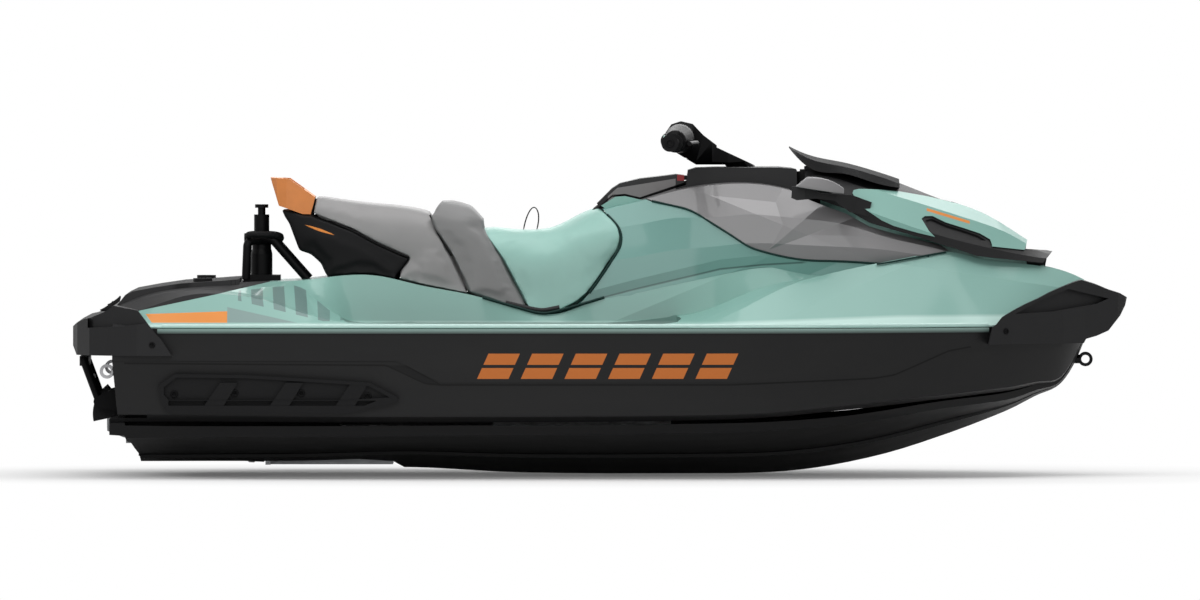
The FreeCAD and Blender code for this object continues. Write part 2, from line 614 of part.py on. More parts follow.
glove_in = box(GLOVE_X0 + GLOVE_WALL, GLOVE_X1 - GLOVE_WALL, -GLOVE_HALF + GLOVE_WALL, GLOVE_HALF - GLOVE_WALL,
               GLOVE_FLOOR_Z + GLOVE_WALL, 720)
RIM_RISE = 15.0
console_top = prism_y([(-60, 300), (-60, 566), (35, 604), (76, 607 + RIM_RISE / 2), (123, 596 + RIM_RISE),
                       (268, 642 + RIM_RISE), (268, 300)], -wide, wide)
keep("glovebox_bin", glove_out.cut(glove_in).common(console_top))
console = console.cut(box(GLOVE_X0 - FIT, GLOVE_X1 + FIT, -GLOVE_HALF - FIT, GLOVE_HALF + FIT, 500, 760))
console = console.cut(rod(COLUMN_FOOT, COLUMN_HEAD, STEM_R + BEARING_GAP))
console = console.cut(rod((LID_PIVOT_X, -61, LID_PIVOT_Z), (LID_PIVOT_X, 61, LID_PIVOT_Z), LID_BARREL_R + MOVE_GAP))
console = console.fuse(rod((LID_PIVOT_X, -66, LID_PIVOT_Z), (LID_PIVOT_X, 66, LID_PIVOT_Z), LID_PIN_R))
console = console.fuse(prism_y([(22, 586), (22, 602), (44, 613), (60, 616), (80, 616), (80, 600)], -60, 60))
keep("steering_console", biggest(console))

LID_TOP = [(-13, 583), (35, 631), (60, 647), (123, 662), (237, 675), (262, 672), (262, 650), (123, 603), (76, 614),
           (35, 611), (-5, 574)]
LID_PLAN = [(-13, 66), (20, 84), (120, 94), (262, 104)]
lid = prism_y(LID_TOP, -wide, wide).common(prism_z(both_sides(LID_PLAN), 500, 720))
lid = lid.fuse(box(250, LID_PIVOT_X, -58, 58, LID_PIVOT_Z - 7, LID_PIVOT_Z + 7))
lid = lid.fuse(rod((LID_PIVOT_X, -58, LID_PIVOT_Z), (LID_PIVOT_X, 58, LID_PIVOT_Z), LID_BARREL_R))
lid = lid.cut(rod((LID_PIVOT_X, -60, LID_PIVOT_Z), (LID_PIVOT_X, 60, LID_PIVOT_Z), LID_PIN_R + RUN))
lid = lid.cut(prism_y([(10, 570), (14, 600), (40, 621), (64, 636), (123, 650), (245, 662), (245, 600)], -76, 76))
keep("glovebox_lid", biggest(lid))

# Hood

HOOD_TABLE = [
    (640, 596, 180, 236, 620, 196, 668, 700),
    (720, 572, 240, 268, 620, 220, 668, 706),
    (800, 530, 266, 284, 580, 232, 644, 690),
    (900, 482, 282, 290, 540, 226, 614, 662),
    (1000, 452, 276, 276, 505, 204, 584, 624),
    (1100, 428, 250, 244, 475, 172, 552, 586),
    (1200, 414, 212, 204, 450, 136, 520, 550),
    (1300, 402, 168, 158, 428, 96, 478, 492),
    (1391, 394, 122, 108, 412, 60, 430, 440),
    (1432, 392, 98, 86, 408, 44, 424, 432),
]
HOOD_SIDE = [(644, 612), (640, 720), (956, 760), (1031, 700), (1258, 600), (1344, 480), (1337, 438), (1426, 435),
             (1391, 397), (1258, 411), (1183, 420), (1101, 448), (1090, 450), (994, 482), (918, 503), (842, 526),
             (770, 568)]
INSERT_SIDE = [(794, 628), (790, 618), (798, 604), (827, 570), (880, 534), (918, 516), (994, 494), (1053, 480),
               (1145, 464), (1211, 452), (1334, 438), (1344, 467), (1344, 600), (1130, 640), (1105, 588), (1029, 606),
               (942, 622), (880, 629), (812, 632)]
INSERT_SLOT = [(1007, 538), (1018, 546), (1042, 546), (1083, 526), (1137, 509), (1191, 491), (1224, 472), (1230, 455),
               (1226, 430), (1056, 430), (1052, 478), (1030, 500)]
SLOT_DEPTH = 7.0
HOOD_SKIN = 12.0
INSERT_PROUD = 5.0


def hood_ring(row, off=0.0):
    x, zb, yb, y1, z1, y2, z2, zt = row
    pts = [(yb - off, zb), (y1 - off, z1), (y2 - off, z2 - 0.5 * off), (0, zt - off)]
    port = [Vector(x, y, z) for y, z in pts]
    starboard = [Vector(x, -y, z) for y, z in reversed(pts[:-1])]
    return port + starboard


def hood_loft(off=0.0):
    return loft([hood_ring(r, off) for r in HOOD_TABLE])


hood_outer = hood_loft()
hood_proud = hood_loft(-INSERT_PROUD)
hood_inner = hood_loft(HOOD_SKIN)
hood = hood_outer.cut(hood_inner).common(prism_y(HOOD_SIDE, -wide, wide))
nose = hood_inner.common(prism_y(HOOD_SIDE, -wide, wide)).common(box(1380, 1440, -wide, wide, 380, 480))
hood = hood.fuse(nose)
for s in (-1, 1):
    lug = prism_y([(HOOD_PIVOT_X - 14, 412), (HOOD_PIVOT_X - 8, HOOD_PIVOT_Z - 2), (HOOD_PIVOT_X + 8, HOOD_PIVOT_Z - 2),
                   (HOOD_PIVOT_X + 14, 412)], 50 * s, 60 * s)
    lug = lug.fuse(rod((HOOD_PIVOT_X, 50 * s, HOOD_PIVOT_Z), (HOOD_PIVOT_X, 60 * s, HOOD_PIVOT_Z), 9))
    hood = hood.fuse(lug).cut(rod((HOOD_PIVOT_X, 40 * s, HOOD_PIVOT_Z), (HOOD_PIVOT_X, 80 * s, HOOD_PIVOT_Z),
                                  HOOD_PIN_R + RUN))
arm_side = [(600, 640), (597, 604), (615, 597), (672, 602), (732, 596), (779, 560), (840, 545), (850, 590),
            (790, 612), (746, 616), (690, 618), (643, 640)]
arm_plan = [(596, 318), (640, 300), (720, 262), (850, 262), (850, 284), (800, 300), (740, 340), (640, 352), (596, 345)]
arm = prism_y(arm_side, 200, 500).common(prism_z(arm_plan, 500, 700)).cut(hood_inner)
hood = biggest(hood.fuse(arm).fuse(mirrored(arm)))
insert = hood_proud.cut(hood_outer).common(prism_y(INSERT_SIDE, -wide, wide))
insert = insert.cut(prism_y(INSERT_SLOT, -wide, wide)).cut(hood)
vent = prism_y([(1018, 532), (1040, 538), (1083, 518), (1137, 501), (1186, 484), (1212, 468), (1150, 470), (1070, 482),
                (1036, 506)], -wide, wide)
hood = biggest(hood.cut(hood_outer.cut(hood_loft(SLOT_DEPTH)).common(vent)))
keep("hood_insert", biggest(insert))
VISOR_TABLE = [(594, 140, 757, 760, 763), (622, 186, 724, 742, 749), (665, 212, 692, 722, 733), (757, 236, 680, 702, 714),
               (848, 226, 654, 678, 690), (940, 150, 634, 646, 660)]
visor = loft([[Vector(x, y, zl), Vector(x, y * 0.8, zs), Vector(x, 0, zt), Vector(x, -y * 0.8, zs),
               Vector(x, -y, zl), Vector(x, 0, zl + 2)] for x, y, zl, zs, zt in VISOR_TABLE])
visor = biggest(visor.cut(hood_outer).cut(insert))
keep("visor", visor)
dash = box(646, 662, -wide, wide, 616, 720).common(hood_inner)
keep("gauge", biggest(dash.fuse(box(628, 648, -88, 88, 622, 690)).cut(visor).cut(hood)))
keep("hood", hood)

MIRROR_TABLE = [(606, 322, 420, 643, 652), (640, 312, 428, 641, 674), (713, 305, 424, 622, 665),
                (747, 305, 390, 620, 646), (762, 308, 350, 620, 628)]


def make_mirror():
    rings = []
    for x, y0, y1, z0, z1 in MIRROR_TABLE:
        c = 0.3 * (z1 - z0)
        rings.append([Vector(x, y0, z0), Vector(x, y1 - 4, z0), Vector(x, y1, z0 + c), Vector(x, y1 - 8, z1 - c),
                      Vector(x, y1 - 26, z1), Vector(x, y0 + 6, z1 - 2)])
    return loft(rings).cut(hood)


mirror = biggest(make_mirror())
keep("mirrors", Part.makeCompound([mirror, mirrored(mirror)]))

# Handlebar

STEM_SIDE = [(300, 717), (350, 715), (404, 712), (452, 716), (440, 729), (399, 743), (377, 757), (323, 798),
             (306, 816), (290, 833), (252, 842), (222, 832), (204, 806), (212, 770), (236, 744), (262, 728)]
STEM_PLAN = [(196, 44), (236, 62), (296, 66), (350, 60), (400, 44), (476, 40)]
POD_IN_R = 46.0
POD_OUT_R = 34.0
stem = prism_y(STEM_SIDE, -80, 80).common(prism_z(both_sides(STEM_PLAN), 600, 900))
stem = stem.fuse(prism_y([(268, 724), (300, 705), (402, 705), (402, 720)], -12, 12))
post = rod(COLUMN_FOOT, COLUMN_HEAD, STEM_R)
bar_points = [(BAR_X - 24, -BAR_HALF, BAR_Z), (BAR_X - 6, -210, BAR_Z), (BAR_X + 30, -105, BAR_Z + 6),
              (BAR_X + 30, 105, BAR_Z + 6), (BAR_X - 6, 210, BAR_Z), (BAR_X - 24, BAR_HALF, BAR_Z)]
bar = bent_tube(bar_points, BAR_R, 40.0)
pods = []
for s in (-1, 1):
    pods.append(cone((BAR_X + 8, s * 118, BAR_Z + 12), (BAR_X - 8, s * 222, BAR_Z + 3), POD_IN_R, POD_OUT_R))
handlebar = stem.fuse(post).fuse(bar).fuse(pods[0]).fuse(pods[1])
keep("handlebar", biggest(handlebar))
g0 = Vector(BAR_X - 9, 226, BAR_Z)
g1 = Vector(BAR_X - 24, BAR_HALF + 6, BAR_Z)
grip = Part.makeCylinder(GRIP_R, (g1 - g0).Length, g0, g1 - g0)
grip = grip.fuse(Part.makeCylinder(GRIP_R + 10, 8, g0, g1 - g0))
g2 = g1 - (g1 - g0) * 0.16
grip = grip.fuse(Part.makeCone(GRIP_R, GRIP_R + 10, (g1 - g2).Length, g2, g1 - g2)).cut(handlebar)
keep("grips", Part.makeCompound([biggest(grip), mirrored(biggest(grip))]))
lever = bent_tube([(BAR_X + 46, 190, BAR_Z), (BAR_X + 62, 230, BAR_Z), (BAR_X + 38, 335, BAR_Z - 2)], 7.0, 20.0)
lever = lever.fuse(rod((BAR_X + 10, 190, BAR_Z), (BAR_X + 48, 190, BAR_Z), 11)).cut(handlebar)
keep("control_levers", Part.makeCompound([biggest(lever), mirrored(biggest(lever))]))

# Load spaces, engine and drive

front_bin = box(BIN_X0, BIN_X1, -BIN_HALF, BIN_HALF, BIN_FLOOR_Z, 380)
keep("front_bin", front_bin.cut(box(BIN_X0 + 5, BIN_X1 - 5, -BIN_HALF + 5, BIN_HALF - 5, BIN_FLOOR_Z + 5, 400)))
keep("engine_block", box(-340, 220, -190, 190, -150, BOND_Z - 5))

PZ = PUMP_Z
pump = rod((PUMP_X, 0, PZ), (-1360, 0, PZ), PUMP_BORE + PUMP_WALL)
pump = pump.fuse(cone((-1360, 0, PZ), (-1430, 0, PZ), PUMP_BORE + PUMP_WALL, 60))
pump = pump.fuse(rod((-1430, 0, PZ), (-1462, 0, PZ), 60))
pump = pump.fuse(box(PUMP_X - 5, PUMP_X + 10, -150 + FIT, 150 - FIT, -205, 42 - FIT))
for s in (-1, 1):
    pump = pump.fuse(box(NOZZLE_X - 14, -1340, -14, 14, PZ + 90 * s - 5, PZ + 90 * s + 5))
    arm = box(NOZZLE_X - 14, -1328, min(94 * s, 106 * s), max(94 * s, 106 * s), PZ - 17, PZ + 17)
    root = box(-1358, -1328, min(85 * s, 100 * s), max(85 * s, 100 * s), PZ - 15, PZ + 15)
    pin = rod((NOZZLE_X, 96 * s, PZ), (NOZZLE_X, 124 * s, PZ), GATE_PIN_R)
    pump = pump.fuse(arm.fuse(root).fuse(pin))
pump = pump.cut(rod((PUMP_X + 11, 0, PZ), (-1350, 0, PZ), PUMP_BORE))
pump = pump.cut(cone((-1350, 0, PZ), (-1422, 0, PZ), PUMP_BORE, 50)).cut(rod((-1421, 0, PZ), (-1463, 0, PZ), 50))
for s in (-1, 1):
    pump = pump.fuse(rod((NOZZLE_X, 0, PZ + 92 * s), (NOZZLE_X, 0, PZ + 76 * s), NOZZLE_PIN_R))
hub = rod((-1318, 0, PZ), (-1400, 0, PZ), 30).cut(rod((-1317, 0, PZ), (-1350, 0, PZ), SHAFT_R + RUN))
for i in range(5):
    vane = box(-1392, -1324, -3, 3, 27, 84)
    vane.rotate(Vector(0, 0, 0), Vector(1, 0, 0), 72 * i)
    vane.translate(Vector(0, 0, PZ))
    hub = hub.fuse(vane.common(rod((-1318, 0, PZ), (-1350, 0, PZ), PUMP_BORE + 1).fuse(
        cone((-1350, 0, PZ), (-1422, 0, PZ), PUMP_BORE + 1, 51))))
pump = pump.fuse(hub)
keep("pump_housing", biggest(pump))

impeller = rod((PUMP_X - 20, 0, PZ), (-1312, 0, PZ), 30)
impeller = impeller.fuse(rod((-1345, 0, PZ), (-340 - FIT, 0, PZ), SHAFT_R))
for i in range(BLADES):
    blade = box(PUMP_X - 118, PUMP_X - 38, -4, 4, 20, 90)
    blade.rotate(Vector(PUMP_X - 78, 0, 0), Vector(0, 0, 1), 35)
    blade.rotate(Vector(0, 0, 0), Vector(1, 0, 0), 360 / BLADES * i)
    blade.translate(Vector(0, 0, PZ))
    impeller = impeller.fuse(blade.common(rod((PUMP_X, 0, PZ), (-1312, 0, PZ), PUMP_BORE - MOVE_GAP)))
keep("impeller", biggest(impeller))

centre = Vector(NOZZLE_X, 0, PZ)
ball = Part.makeSphere(80, centre).common(box(-1700, NOZZLE_X + 16, -90, 90, PZ - 90, PZ + 90))
nozzle = ball.fuse(cone((NOZZLE_X - 20, 0, PZ), (NOZZLE_END_X, 0, PZ), 76, 57))
nozzle = nozzle.fuse(rod((NOZZLE_X, 0, PZ - 83), (NOZZLE_X, 0, PZ + 83), 12))
nozzle = nozzle.cut(Part.makeSphere(72, centre)).cut(cone((NOZZLE_X - 20, 0, PZ), (NOZZLE_END_X - 1, 0, PZ), 68, 49))
nozzle = nozzle.cut(rod((NOZZLE_X, 0, PZ - 90), (NOZZLE_X, 0, PZ + 90), NOZZLE_PIN_R + RUN))
keep("nozzle", biggest(nozzle))

GATE_R = 108.0
GATE_THICK = 8.0
sector = prism_y([(NOZZLE_X, PZ)] + [(NOZZLE_X - 160 * math.cos(math.radians(a)), PZ + 160 * math.sin(math.radians(a)))
                                     for a in (-12, 5, 20, 35, 50)], -200, 200)
gate = rod((NOZZLE_X, -122, PZ), (NOZZLE_X, 122, PZ), GATE_R + GATE_THICK)
gate = gate.cut(rod((NOZZLE_X, -112, PZ), (NOZZLE_X, 112, PZ), GATE_R)).common(sector)
for s in (-1, 1):
    gate = gate.fuse(rod((NOZZLE_X, 122 * s, PZ), (NOZZLE_X, 107 * s, PZ), 17))
for s in (-1, 1):
    gate = gate.cut(rod((NOZZLE_X, 123 * s, PZ), (NOZZLE_X, 100 * s, PZ), GATE_PIN_R + RUN))
    gate = gate.cut(rod((NOZZLE_X, 107 * s, PZ), (NOZZLE_X, 60 * s, PZ), GATE_R - 1))
keep("reverse_gate", biggest(gate))

plate = prism_y([(-1060, -229), (-1455, -210), (-1455, -200), (-1060, -219)], -150 + FIT, 150 - FIT)
keep("ride_plate", plate)
bars = [box(-1052, -655, y - 5, y + 5, -238, -220) for y in (-84, -42, 0, 42, 84)]
grate = joined(bars + [box(-1056, -1040, -150 + FIT, 150 - FIT, -238, -220)]).cut(tunnel).cut(hull)
keep("intake_grate", biggest(grate))

# Hull fittings

SPONSON_SIDE = [(-1385, 19), (-1332, 57), (-1110, 54), (-837, 38), (-721, 30), (-637, -14), (-632, -25), (-660, -38),
                (-798, -66), (-1353, -66), (-1372, -38)]
SPONSON_FIELD = [(-1366, 16), (-1326, 46), (-1110, 44), (-837, 28), (-726, 20), (-660, -16), (-800, -24),
                 (-1352, -24), (-1366, -8)]
SPONSON_SLOT = [(-1352, -26), (-700, -26), (-740, -42), (-1352, -42)]
SPONSON_PROUD = 26.0
RIB_TOPS = (-1190, -985, -780)


def on_side(outline, z0, z1, t0, t1):
    """An outline raised on the port hull side between two distances off it."""
    xs = [p[0] for p in outline]
    span = [min(xs) - 20, (min(xs) + max(xs)) / 2, max(xs) + 20]
    return side_slab(span, z0, z1, t0, t1).common(prism_y(outline, 0, 800))


sponson = on_side(SPONSON_SIDE, -76, 70, FIT, SPONSON_PROUD)
dish = on_side(SPONSON_FIELD, -76, 70, 10, 60)
slot = on_side(SPONSON_SLOT, -76, 70, 4, 60)
sponson = sponson.cut(dish).cut(slot)
for x in RIB_TOPS:
    rib = on_side([(x, 30), (x + 55, 30), (x, -60), (x - 62, -60)], -76, 70, FIT, SPONSON_PROUD - 2)
    sponson = sponson.fuse(rib)
sponson = biggest(sponson.cut(hull))
keep("sponson_left", sponson)
keep("sponson_right", mirrored(sponson))


def eye(at, out, thick, hole_r):
    """A forged eye: a round plate with a hole, its edge on the hull, and a foot behind it."""
    x, y, z = at
    ring = rod((x, y - thick / 2, z), (x, y + thick / 2, z), hole_r + 10)
    foot = rod((x - out * (hole_r + 4), y, z), (x - out * (hole_r + 30), y, z), 14)
    return ring.fuse(foot).cut(rod((x, y - thick, z), (x, y + thick, z), hole_r))


stern_eyes = [biggest(eye((-1550, s * 330, 60), -1, EYE_THICK, EYE_R).cut(hull)) for s in (1, -1)]
bow_eye = biggest(eye((1528, 0, 92), 1, EYE_THICK, EYE_R).cut(hull_outer))
keep("tow_eyes", Part.makeCompound(stern_eyes + [bow_eye]))

# Rear deck fittings

MAT_SIDE = [(-1517, 268), (-1492, 300), (-1467, 312), (-1391, 326), (-1315, 337), (-1200, 344), (-1164, 347),
            (-1136, 349), (-1136, 290), (-1517, 230)]
MAT_PLAN = [(-1560, 330), (-1520, 392), (-1166, 372), (-1136, 340)]
mat = prism_y(MAT_SIDE, -wide, wide).common(prism_z(both_sides(MAT_PLAN), 0, 500))
mat = mat.cut(deck_top).cut(stern_bumper)
well_mat = prism_z([(-790, 275), (-770, 510), (50, 515), (175, 495), (222, 430), (232, 350), (218, 290), (-73, 266),
                    (-600, 266)], FLOOR_Z + FIT, FLOOR_Z + 8)
anchors = []
for y in (ANCHOR_Y, -ANCHOR_Y):
    ring = rod((ANCHOR_X, y, ANCHOR_LOW_Z), (ANCHOR_X, y, ANCHOR_HIGH_Z), ANCHOR_R + ANCHOR_WALL)
    anchors.append(ring.cut(rod((ANCHOR_X, y, ANCHOR_LOW_Z - 1), (ANCHOR_X, y, ANCHOR_HIGH_Z + 1), ANCHOR_R)))
keep("cargo_anchors", Part.makeCompound(anchors))
for y in (ANCHOR_Y, -ANCHOR_Y):
    mat = mat.cut(rod((ANCHOR_X, y, 200), (ANCHOR_X, y, 400), ANCHOR_R + ANCHOR_WALL + 1))
keep("deck_mats", Part.makeCompound([biggest(mat), well_mat, mirrored(well_mat)]))

# Tow pylon and ladder

sleeve = rod((MAST_X, 0, 350), (MAST_X, 0, 424), GUIDE_R).fuse(cone((MAST_X, 0, 424), (MAST_X, 0, 440), GUIDE_R, 30))
sleeve = sleeve.fuse(rod((MAST_X, 0, 440), (MAST_X, 0, 490), 30))
collar = rod((MAST_X, 0, 460), (MAST_X, 0, 484), GUIDE_R + 4).fuse(sleeve)
guide = rod((MAST_X, 0, WELL_END_Z), (MAST_X, 0, 372), GUIDE_R)
foot = prism_z([(-1128, 62), (-1128, -62), (-1010, -62), (-1010, 62)], 300, 358).cut(deck_top)
legs = []
for s in (-1, 1):
    legs.append(bent_tube([(MAST_X, s * 30, 468), (-1036, s * 60, 474), (-922, s * 66, 345)], 15.0, 22.0))
    legs.append(bent_tube([(MAST_X, s * 30, 468), (-1114, s * 60, 464), (-1119, s * 60, 345)], 13.0, 18.0))
pylon = guide.fuse(collar).fuse(foot)
for leg in legs:
    pylon = pylon.fuse(leg.cut(deck_top))
pylon = pylon.cut(rod((MAST_X, 0, WELL_END_Z - 1), (MAST_X, 0, 600), MAST_R + MAST_GAP))
keep("pylon_base", biggest(pylon))
mast = rod((MAST_X, 0, MAST_FOOT_Z), (MAST_X, 0, 548), MAST_R).fuse(rod((MAST_X, 0, 547), (MAST_X, 0, 570), TOW_PIN_R))
mast = mast.fuse(rod((MAST_X, 0, 569), (MAST_X, 0, 580), MAST_R - 3))
keep("pylon_mast", mast)

ladder = []
for s in (-1, 1):
    ladder.append(rod((LADDER_PIVOT_X, s * LADDER_HALF, LADDER_PIVOT_Z), (-1628, s * LADDER_HALF, 96), 13))
    ladder.append(rod((LADDER_PIVOT_X, s * (LADDER_HALF - 12), LADDER_PIVOT_Z),
                      (LADDER_PIVOT_X, s * (LADDER_HALF + 12), LADDER_PIVOT_Z), 18))
ladder.append(prism_y([(-1640, 74), (-1612, 74), (-1612, 100), (-1640, 104)], -LADDER_HALF, LADDER_HALF))
ladder.append(rod((-1606, -LADDER_HALF, 34), (-1606, LADDER_HALF, 34), 10))
ladder = joined(ladder).cut(rod((LADDER_PIVOT_X, -300, LADDER_PIVOT_Z), (LADDER_PIVOT_X, 300, LADDER_PIVOT_Z),
                                LADDER_PIN_R + RUN))
keep("ladder", biggest(ladder))
brackets = []
for s in (-1, 1):
    b = prism_y([(-1500, -66), (-1500, 10), (-1560, -8), (LADDER_PIVOT_X - 16, LADDER_PIVOT_Z + 8),
                 (LADDER_PIVOT_X - 16, LADDER_PIVOT_Z - 14), (-1560, -60)], s * (LADDER_HALF + 14),
                s * (LADDER_HALF + 26))
    b = b.fuse(rod((LADDER_PIVOT_X, s * (LADDER_HALF - 14), LADDER_PIVOT_Z),
                   (LADDER_PIVOT_X, s * (LADDER_HALF + 25), LADDER_PIVOT_Z), LADDER_PIN_R))
    brackets.append(biggest(b.cut(hull)))
keep("ladder_brackets", Part.makeCompound(brackets))

if __name__ == "__main__":
    os.makedirs("parts", exist_ok=True)
    for name, shape in parts.items():
        shape.exportStep("parts/%s.step" % name)
        print(name, shape.isValid(), len(shape.Solids), round(shape.Volume / 1e9, 5))
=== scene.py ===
# %% [markdown]
# A sit-down jet craft for tow sports, dressed for a studio picture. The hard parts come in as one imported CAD
# frame, which never moves. Blender adds what the eye looks for: gel coat, paint, vinyl over foam, rubber
# mats, screws, stripes and lenses. Everything is in metres, with +X to the bow, +Y to port and +Z up.

# %% Load the frame
import math

import bpy
from mathutils import Matrix, Vector


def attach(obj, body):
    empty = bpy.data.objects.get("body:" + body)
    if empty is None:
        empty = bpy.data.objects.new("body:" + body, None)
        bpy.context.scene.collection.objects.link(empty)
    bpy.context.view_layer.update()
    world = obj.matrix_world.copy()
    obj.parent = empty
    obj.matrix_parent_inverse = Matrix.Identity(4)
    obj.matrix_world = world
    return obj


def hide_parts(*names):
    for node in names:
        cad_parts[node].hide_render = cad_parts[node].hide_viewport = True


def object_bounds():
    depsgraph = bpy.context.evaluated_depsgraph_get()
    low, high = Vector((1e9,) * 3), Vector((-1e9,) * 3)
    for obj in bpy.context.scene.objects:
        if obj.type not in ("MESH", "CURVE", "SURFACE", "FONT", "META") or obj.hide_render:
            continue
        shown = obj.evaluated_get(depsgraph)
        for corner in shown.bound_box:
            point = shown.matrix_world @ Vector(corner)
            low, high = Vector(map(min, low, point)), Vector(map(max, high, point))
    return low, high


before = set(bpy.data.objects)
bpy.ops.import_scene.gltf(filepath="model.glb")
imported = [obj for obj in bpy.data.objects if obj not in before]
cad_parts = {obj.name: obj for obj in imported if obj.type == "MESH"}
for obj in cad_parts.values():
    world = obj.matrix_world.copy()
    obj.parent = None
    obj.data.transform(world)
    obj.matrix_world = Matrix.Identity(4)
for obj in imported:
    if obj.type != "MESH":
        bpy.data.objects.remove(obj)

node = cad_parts
cad_low, cad_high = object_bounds()
print("CAD nodes:", len(node), "box:", [round(v, 3) for v in (*cad_low, *cad_high)])

# %% [markdown]
# A finish is a small node tree. Written node by node it is long, so two helpers keep it readable. Wire wraps
# one socket and turns Python operators into Math nodes. Finish makes a material, and its method put adds any
# other node, with what goes into its sockets and its settings. Values that are the same all over go straight
# on the shader's sockets.


# %% Socket maths and node making
class Wire:
    """One output socket; + - * / and comparison-like helpers add Math nodes."""

    def __init__(self, finish, socket):
        self.finish = finish
        self.socket = socket

    def math(self, operation, *others, clamp=False):
        sockets = dict(enumerate([self, *others]))
        return self.finish.put("ShaderNodeMath", sockets, operation=operation, use_clamp=clamp)

    def __add__(self, other):
        return self.math("ADD", other)

    __radd__ = __add__

    def __sub__(self, other):
        return self.math("SUBTRACT", other)

    def __rsub__(self, other):
        return self.finish.put("ShaderNodeMath", {0: other, 1: self}, operation="SUBTRACT")

    def __mul__(self, other):
        return self.math("MULTIPLY", other)

    __rmul__ = __mul__

    def __truediv__(self, other):
        return self.math("DIVIDE", other)

    def above(self, level, soft=0.0004):
        """1 where the value is over level, 0 under it, with a thin soft edge."""
        return ((self - level) / soft).math("ADD", 0.5, clamp=True)

    def below(self, level, soft=0.0004):
        return 1 - self.above(level, soft)

    def between(self, low, high):
        return self.above(low) * self.below(high)

    def within(self, low, high):
        """The value, held between two limits."""
        return self.math("MAXIMUM", low).math("MINIMUM", high)

    def least(self, *others):
        """The smallest of this value and the others."""
        found = self
        for other in others:
            found = found.math("MINIMUM", other)
        return found

    def size(self):
        return self.math("ABSOLUTE")

    def from_middle(self):
        """How far the value is from the middle of its whole step, 0 to 0.5."""
        return (self.math("FRACT") - 0.5).size()


class Finish:
    """A material round one Principled shader."""

    def __init__(self, name, colour, rough, **sockets):
        self.material = bpy.data.materials.new(name)
        self.material.use_nodes = True
        self.tree = self.material.node_tree
        self.shader = self.tree.nodes["Principled BSDF"]
        self.set("Base Color", (*colour, 1.0))
        self.set("Roughness", rough)
        for key, value in sockets.items():
            self.set(key.replace("_", " "), value)
        self.place = self.put("ShaderNodeTexCoord", output="Object")
        self.material.diffuse_color = (*colour, 1.0)

    def set(self, socket, value):
        target = self.shader.inputs[socket]
        if isinstance(value, Wire):
            self.tree.links.new(value.socket, target)
        else:
            target.default_value = value

    def put(self, kind, sockets=None, output=0, **settings):
        """Adds a node and gives one of its outputs."""
        made = self.tree.nodes.new(kind)
        for key, value in settings.items():
            setattr(made, key, value)
        for key, value in (sockets or {}).items():
            if isinstance(value, Wire):
                self.tree.links.new(value.socket, made.inputs[key])
            else:
                made.inputs[key].default_value = value
        return Wire(self, made.outputs[output])

    def axes(self):
        """The three coordinates of a point, as numbers in metres."""
        split = self.put("ShaderNodeSeparateXYZ", {0: self.place})
        return [Wire(self, number) for number in split.socket.node.outputs]

    def noise(self, scale, detail=2.0, stretch=(1, 1, 1)):
        spot = self.put("ShaderNodeMapping", {"Vector": self.place, "Scale": stretch})
        return self.put("ShaderNodeTexNoise", {"Vector": spot, "Scale": scale, "Detail": detail}, "Fac")

    def cells(self, scale, feature="F1"):
        sockets = {"Vector": self.place, "Scale": scale}
        return self.put("ShaderNodeTexVoronoi", sockets, "Distance", feature=feature)

    def blend(self, amount, first, second):
        """Mixes two colours, each of them a triple or a wire."""
        first, second = [c if isinstance(c, Wire) else (*c, 1.0) for c in (first, second)]
        sockets = {"Factor": amount, 6: first, 7: second}
        return self.put("ShaderNodeMix", sockets, 2, data_type="RGBA")

    def layers(self, ground, *layers):
        """Lays colours over a ground colour, each where its mask is 1, and gives them to the shader."""
        for mask, colour in layers:
            ground = self.blend(mask, ground, colour)
        self.set("Base Color", ground)

    def bump(self, height, strength, depth, under=None):
        """Gives the shader a bump, on top of another one if there is one."""
        sockets = {"Height": height, "Strength": strength, "Distance": depth}
        if under is not None:
            sockets["Normal"] = under
        normal = self.put("ShaderNodeBump", sockets)
        self.set("Normal", normal)
        return normal

    def uneven(self, rough, spread, *noise):
        """Gives the shader a roughness that a noise varies."""
        self.set("Roughness", rough + self.noise(*noise) * spread)

    def run(self, x, points):
        """Height over X of a bent line in the side view, as a ramp through its points."""
        (low, _), (high, _) = points[0], points[-1]
        bottom, top = min(z for _, z in points), max(z for _, z in points)
        stops = [((at - low) / (high - low), (z - bottom) / (top - bottom)) for at, z in points]
        ramp = self.put("ShaderNodeValToRGB", {"Fac": (x - low) / (high - low)})
        elements = ramp.socket.node.color_ramp.elements
        for at, _ in stops[1:-1]:
            elements.new(at)
        for element, (at, shade) in zip(elements, stops):
            element.position = at
            element.color = (shade, shade, shade, 1.0)
        return ramp * (top - bottom) + bottom

    def onto(self, thing):
        thing.data.materials.clear()
        thing.data.materials.append(self.material)

    def wears(self, *names):
        """Gives this finish to CAD nodes."""
        for name in names:
            self.onto(node[name])
        print(self.material.name, "on", ", ".join(names))
        return self


def over(x, z, x1, z1, x2, z2):
    """How far a point of the side view lies over the line through two points."""
    slope = (z2 - z1) / (x2 - x1)
    return (z - x * slope - (z1 - slope * x1)) * math.cos(math.atan(slope))


def linear(red, green, blue):
    """A screen colour of 0 to 255 as the linear light that a shader wants."""
    parts = [c / 255 for c in (red, green, blue)]
    return tuple(c / 12.92 if c <= 10 / 255 else ((c + 0.055) / 1.055) ** 2.4 for c in parts)


# %% [markdown]
# The hull and deck are moulded in glass fibre or a filled composite. Black hull moulding is satin, with a
# slight ripple from the mould and a haze of fine scuffs. The ripple is a wide, shallow noise in the bump,
# the haze a noise in the roughness.

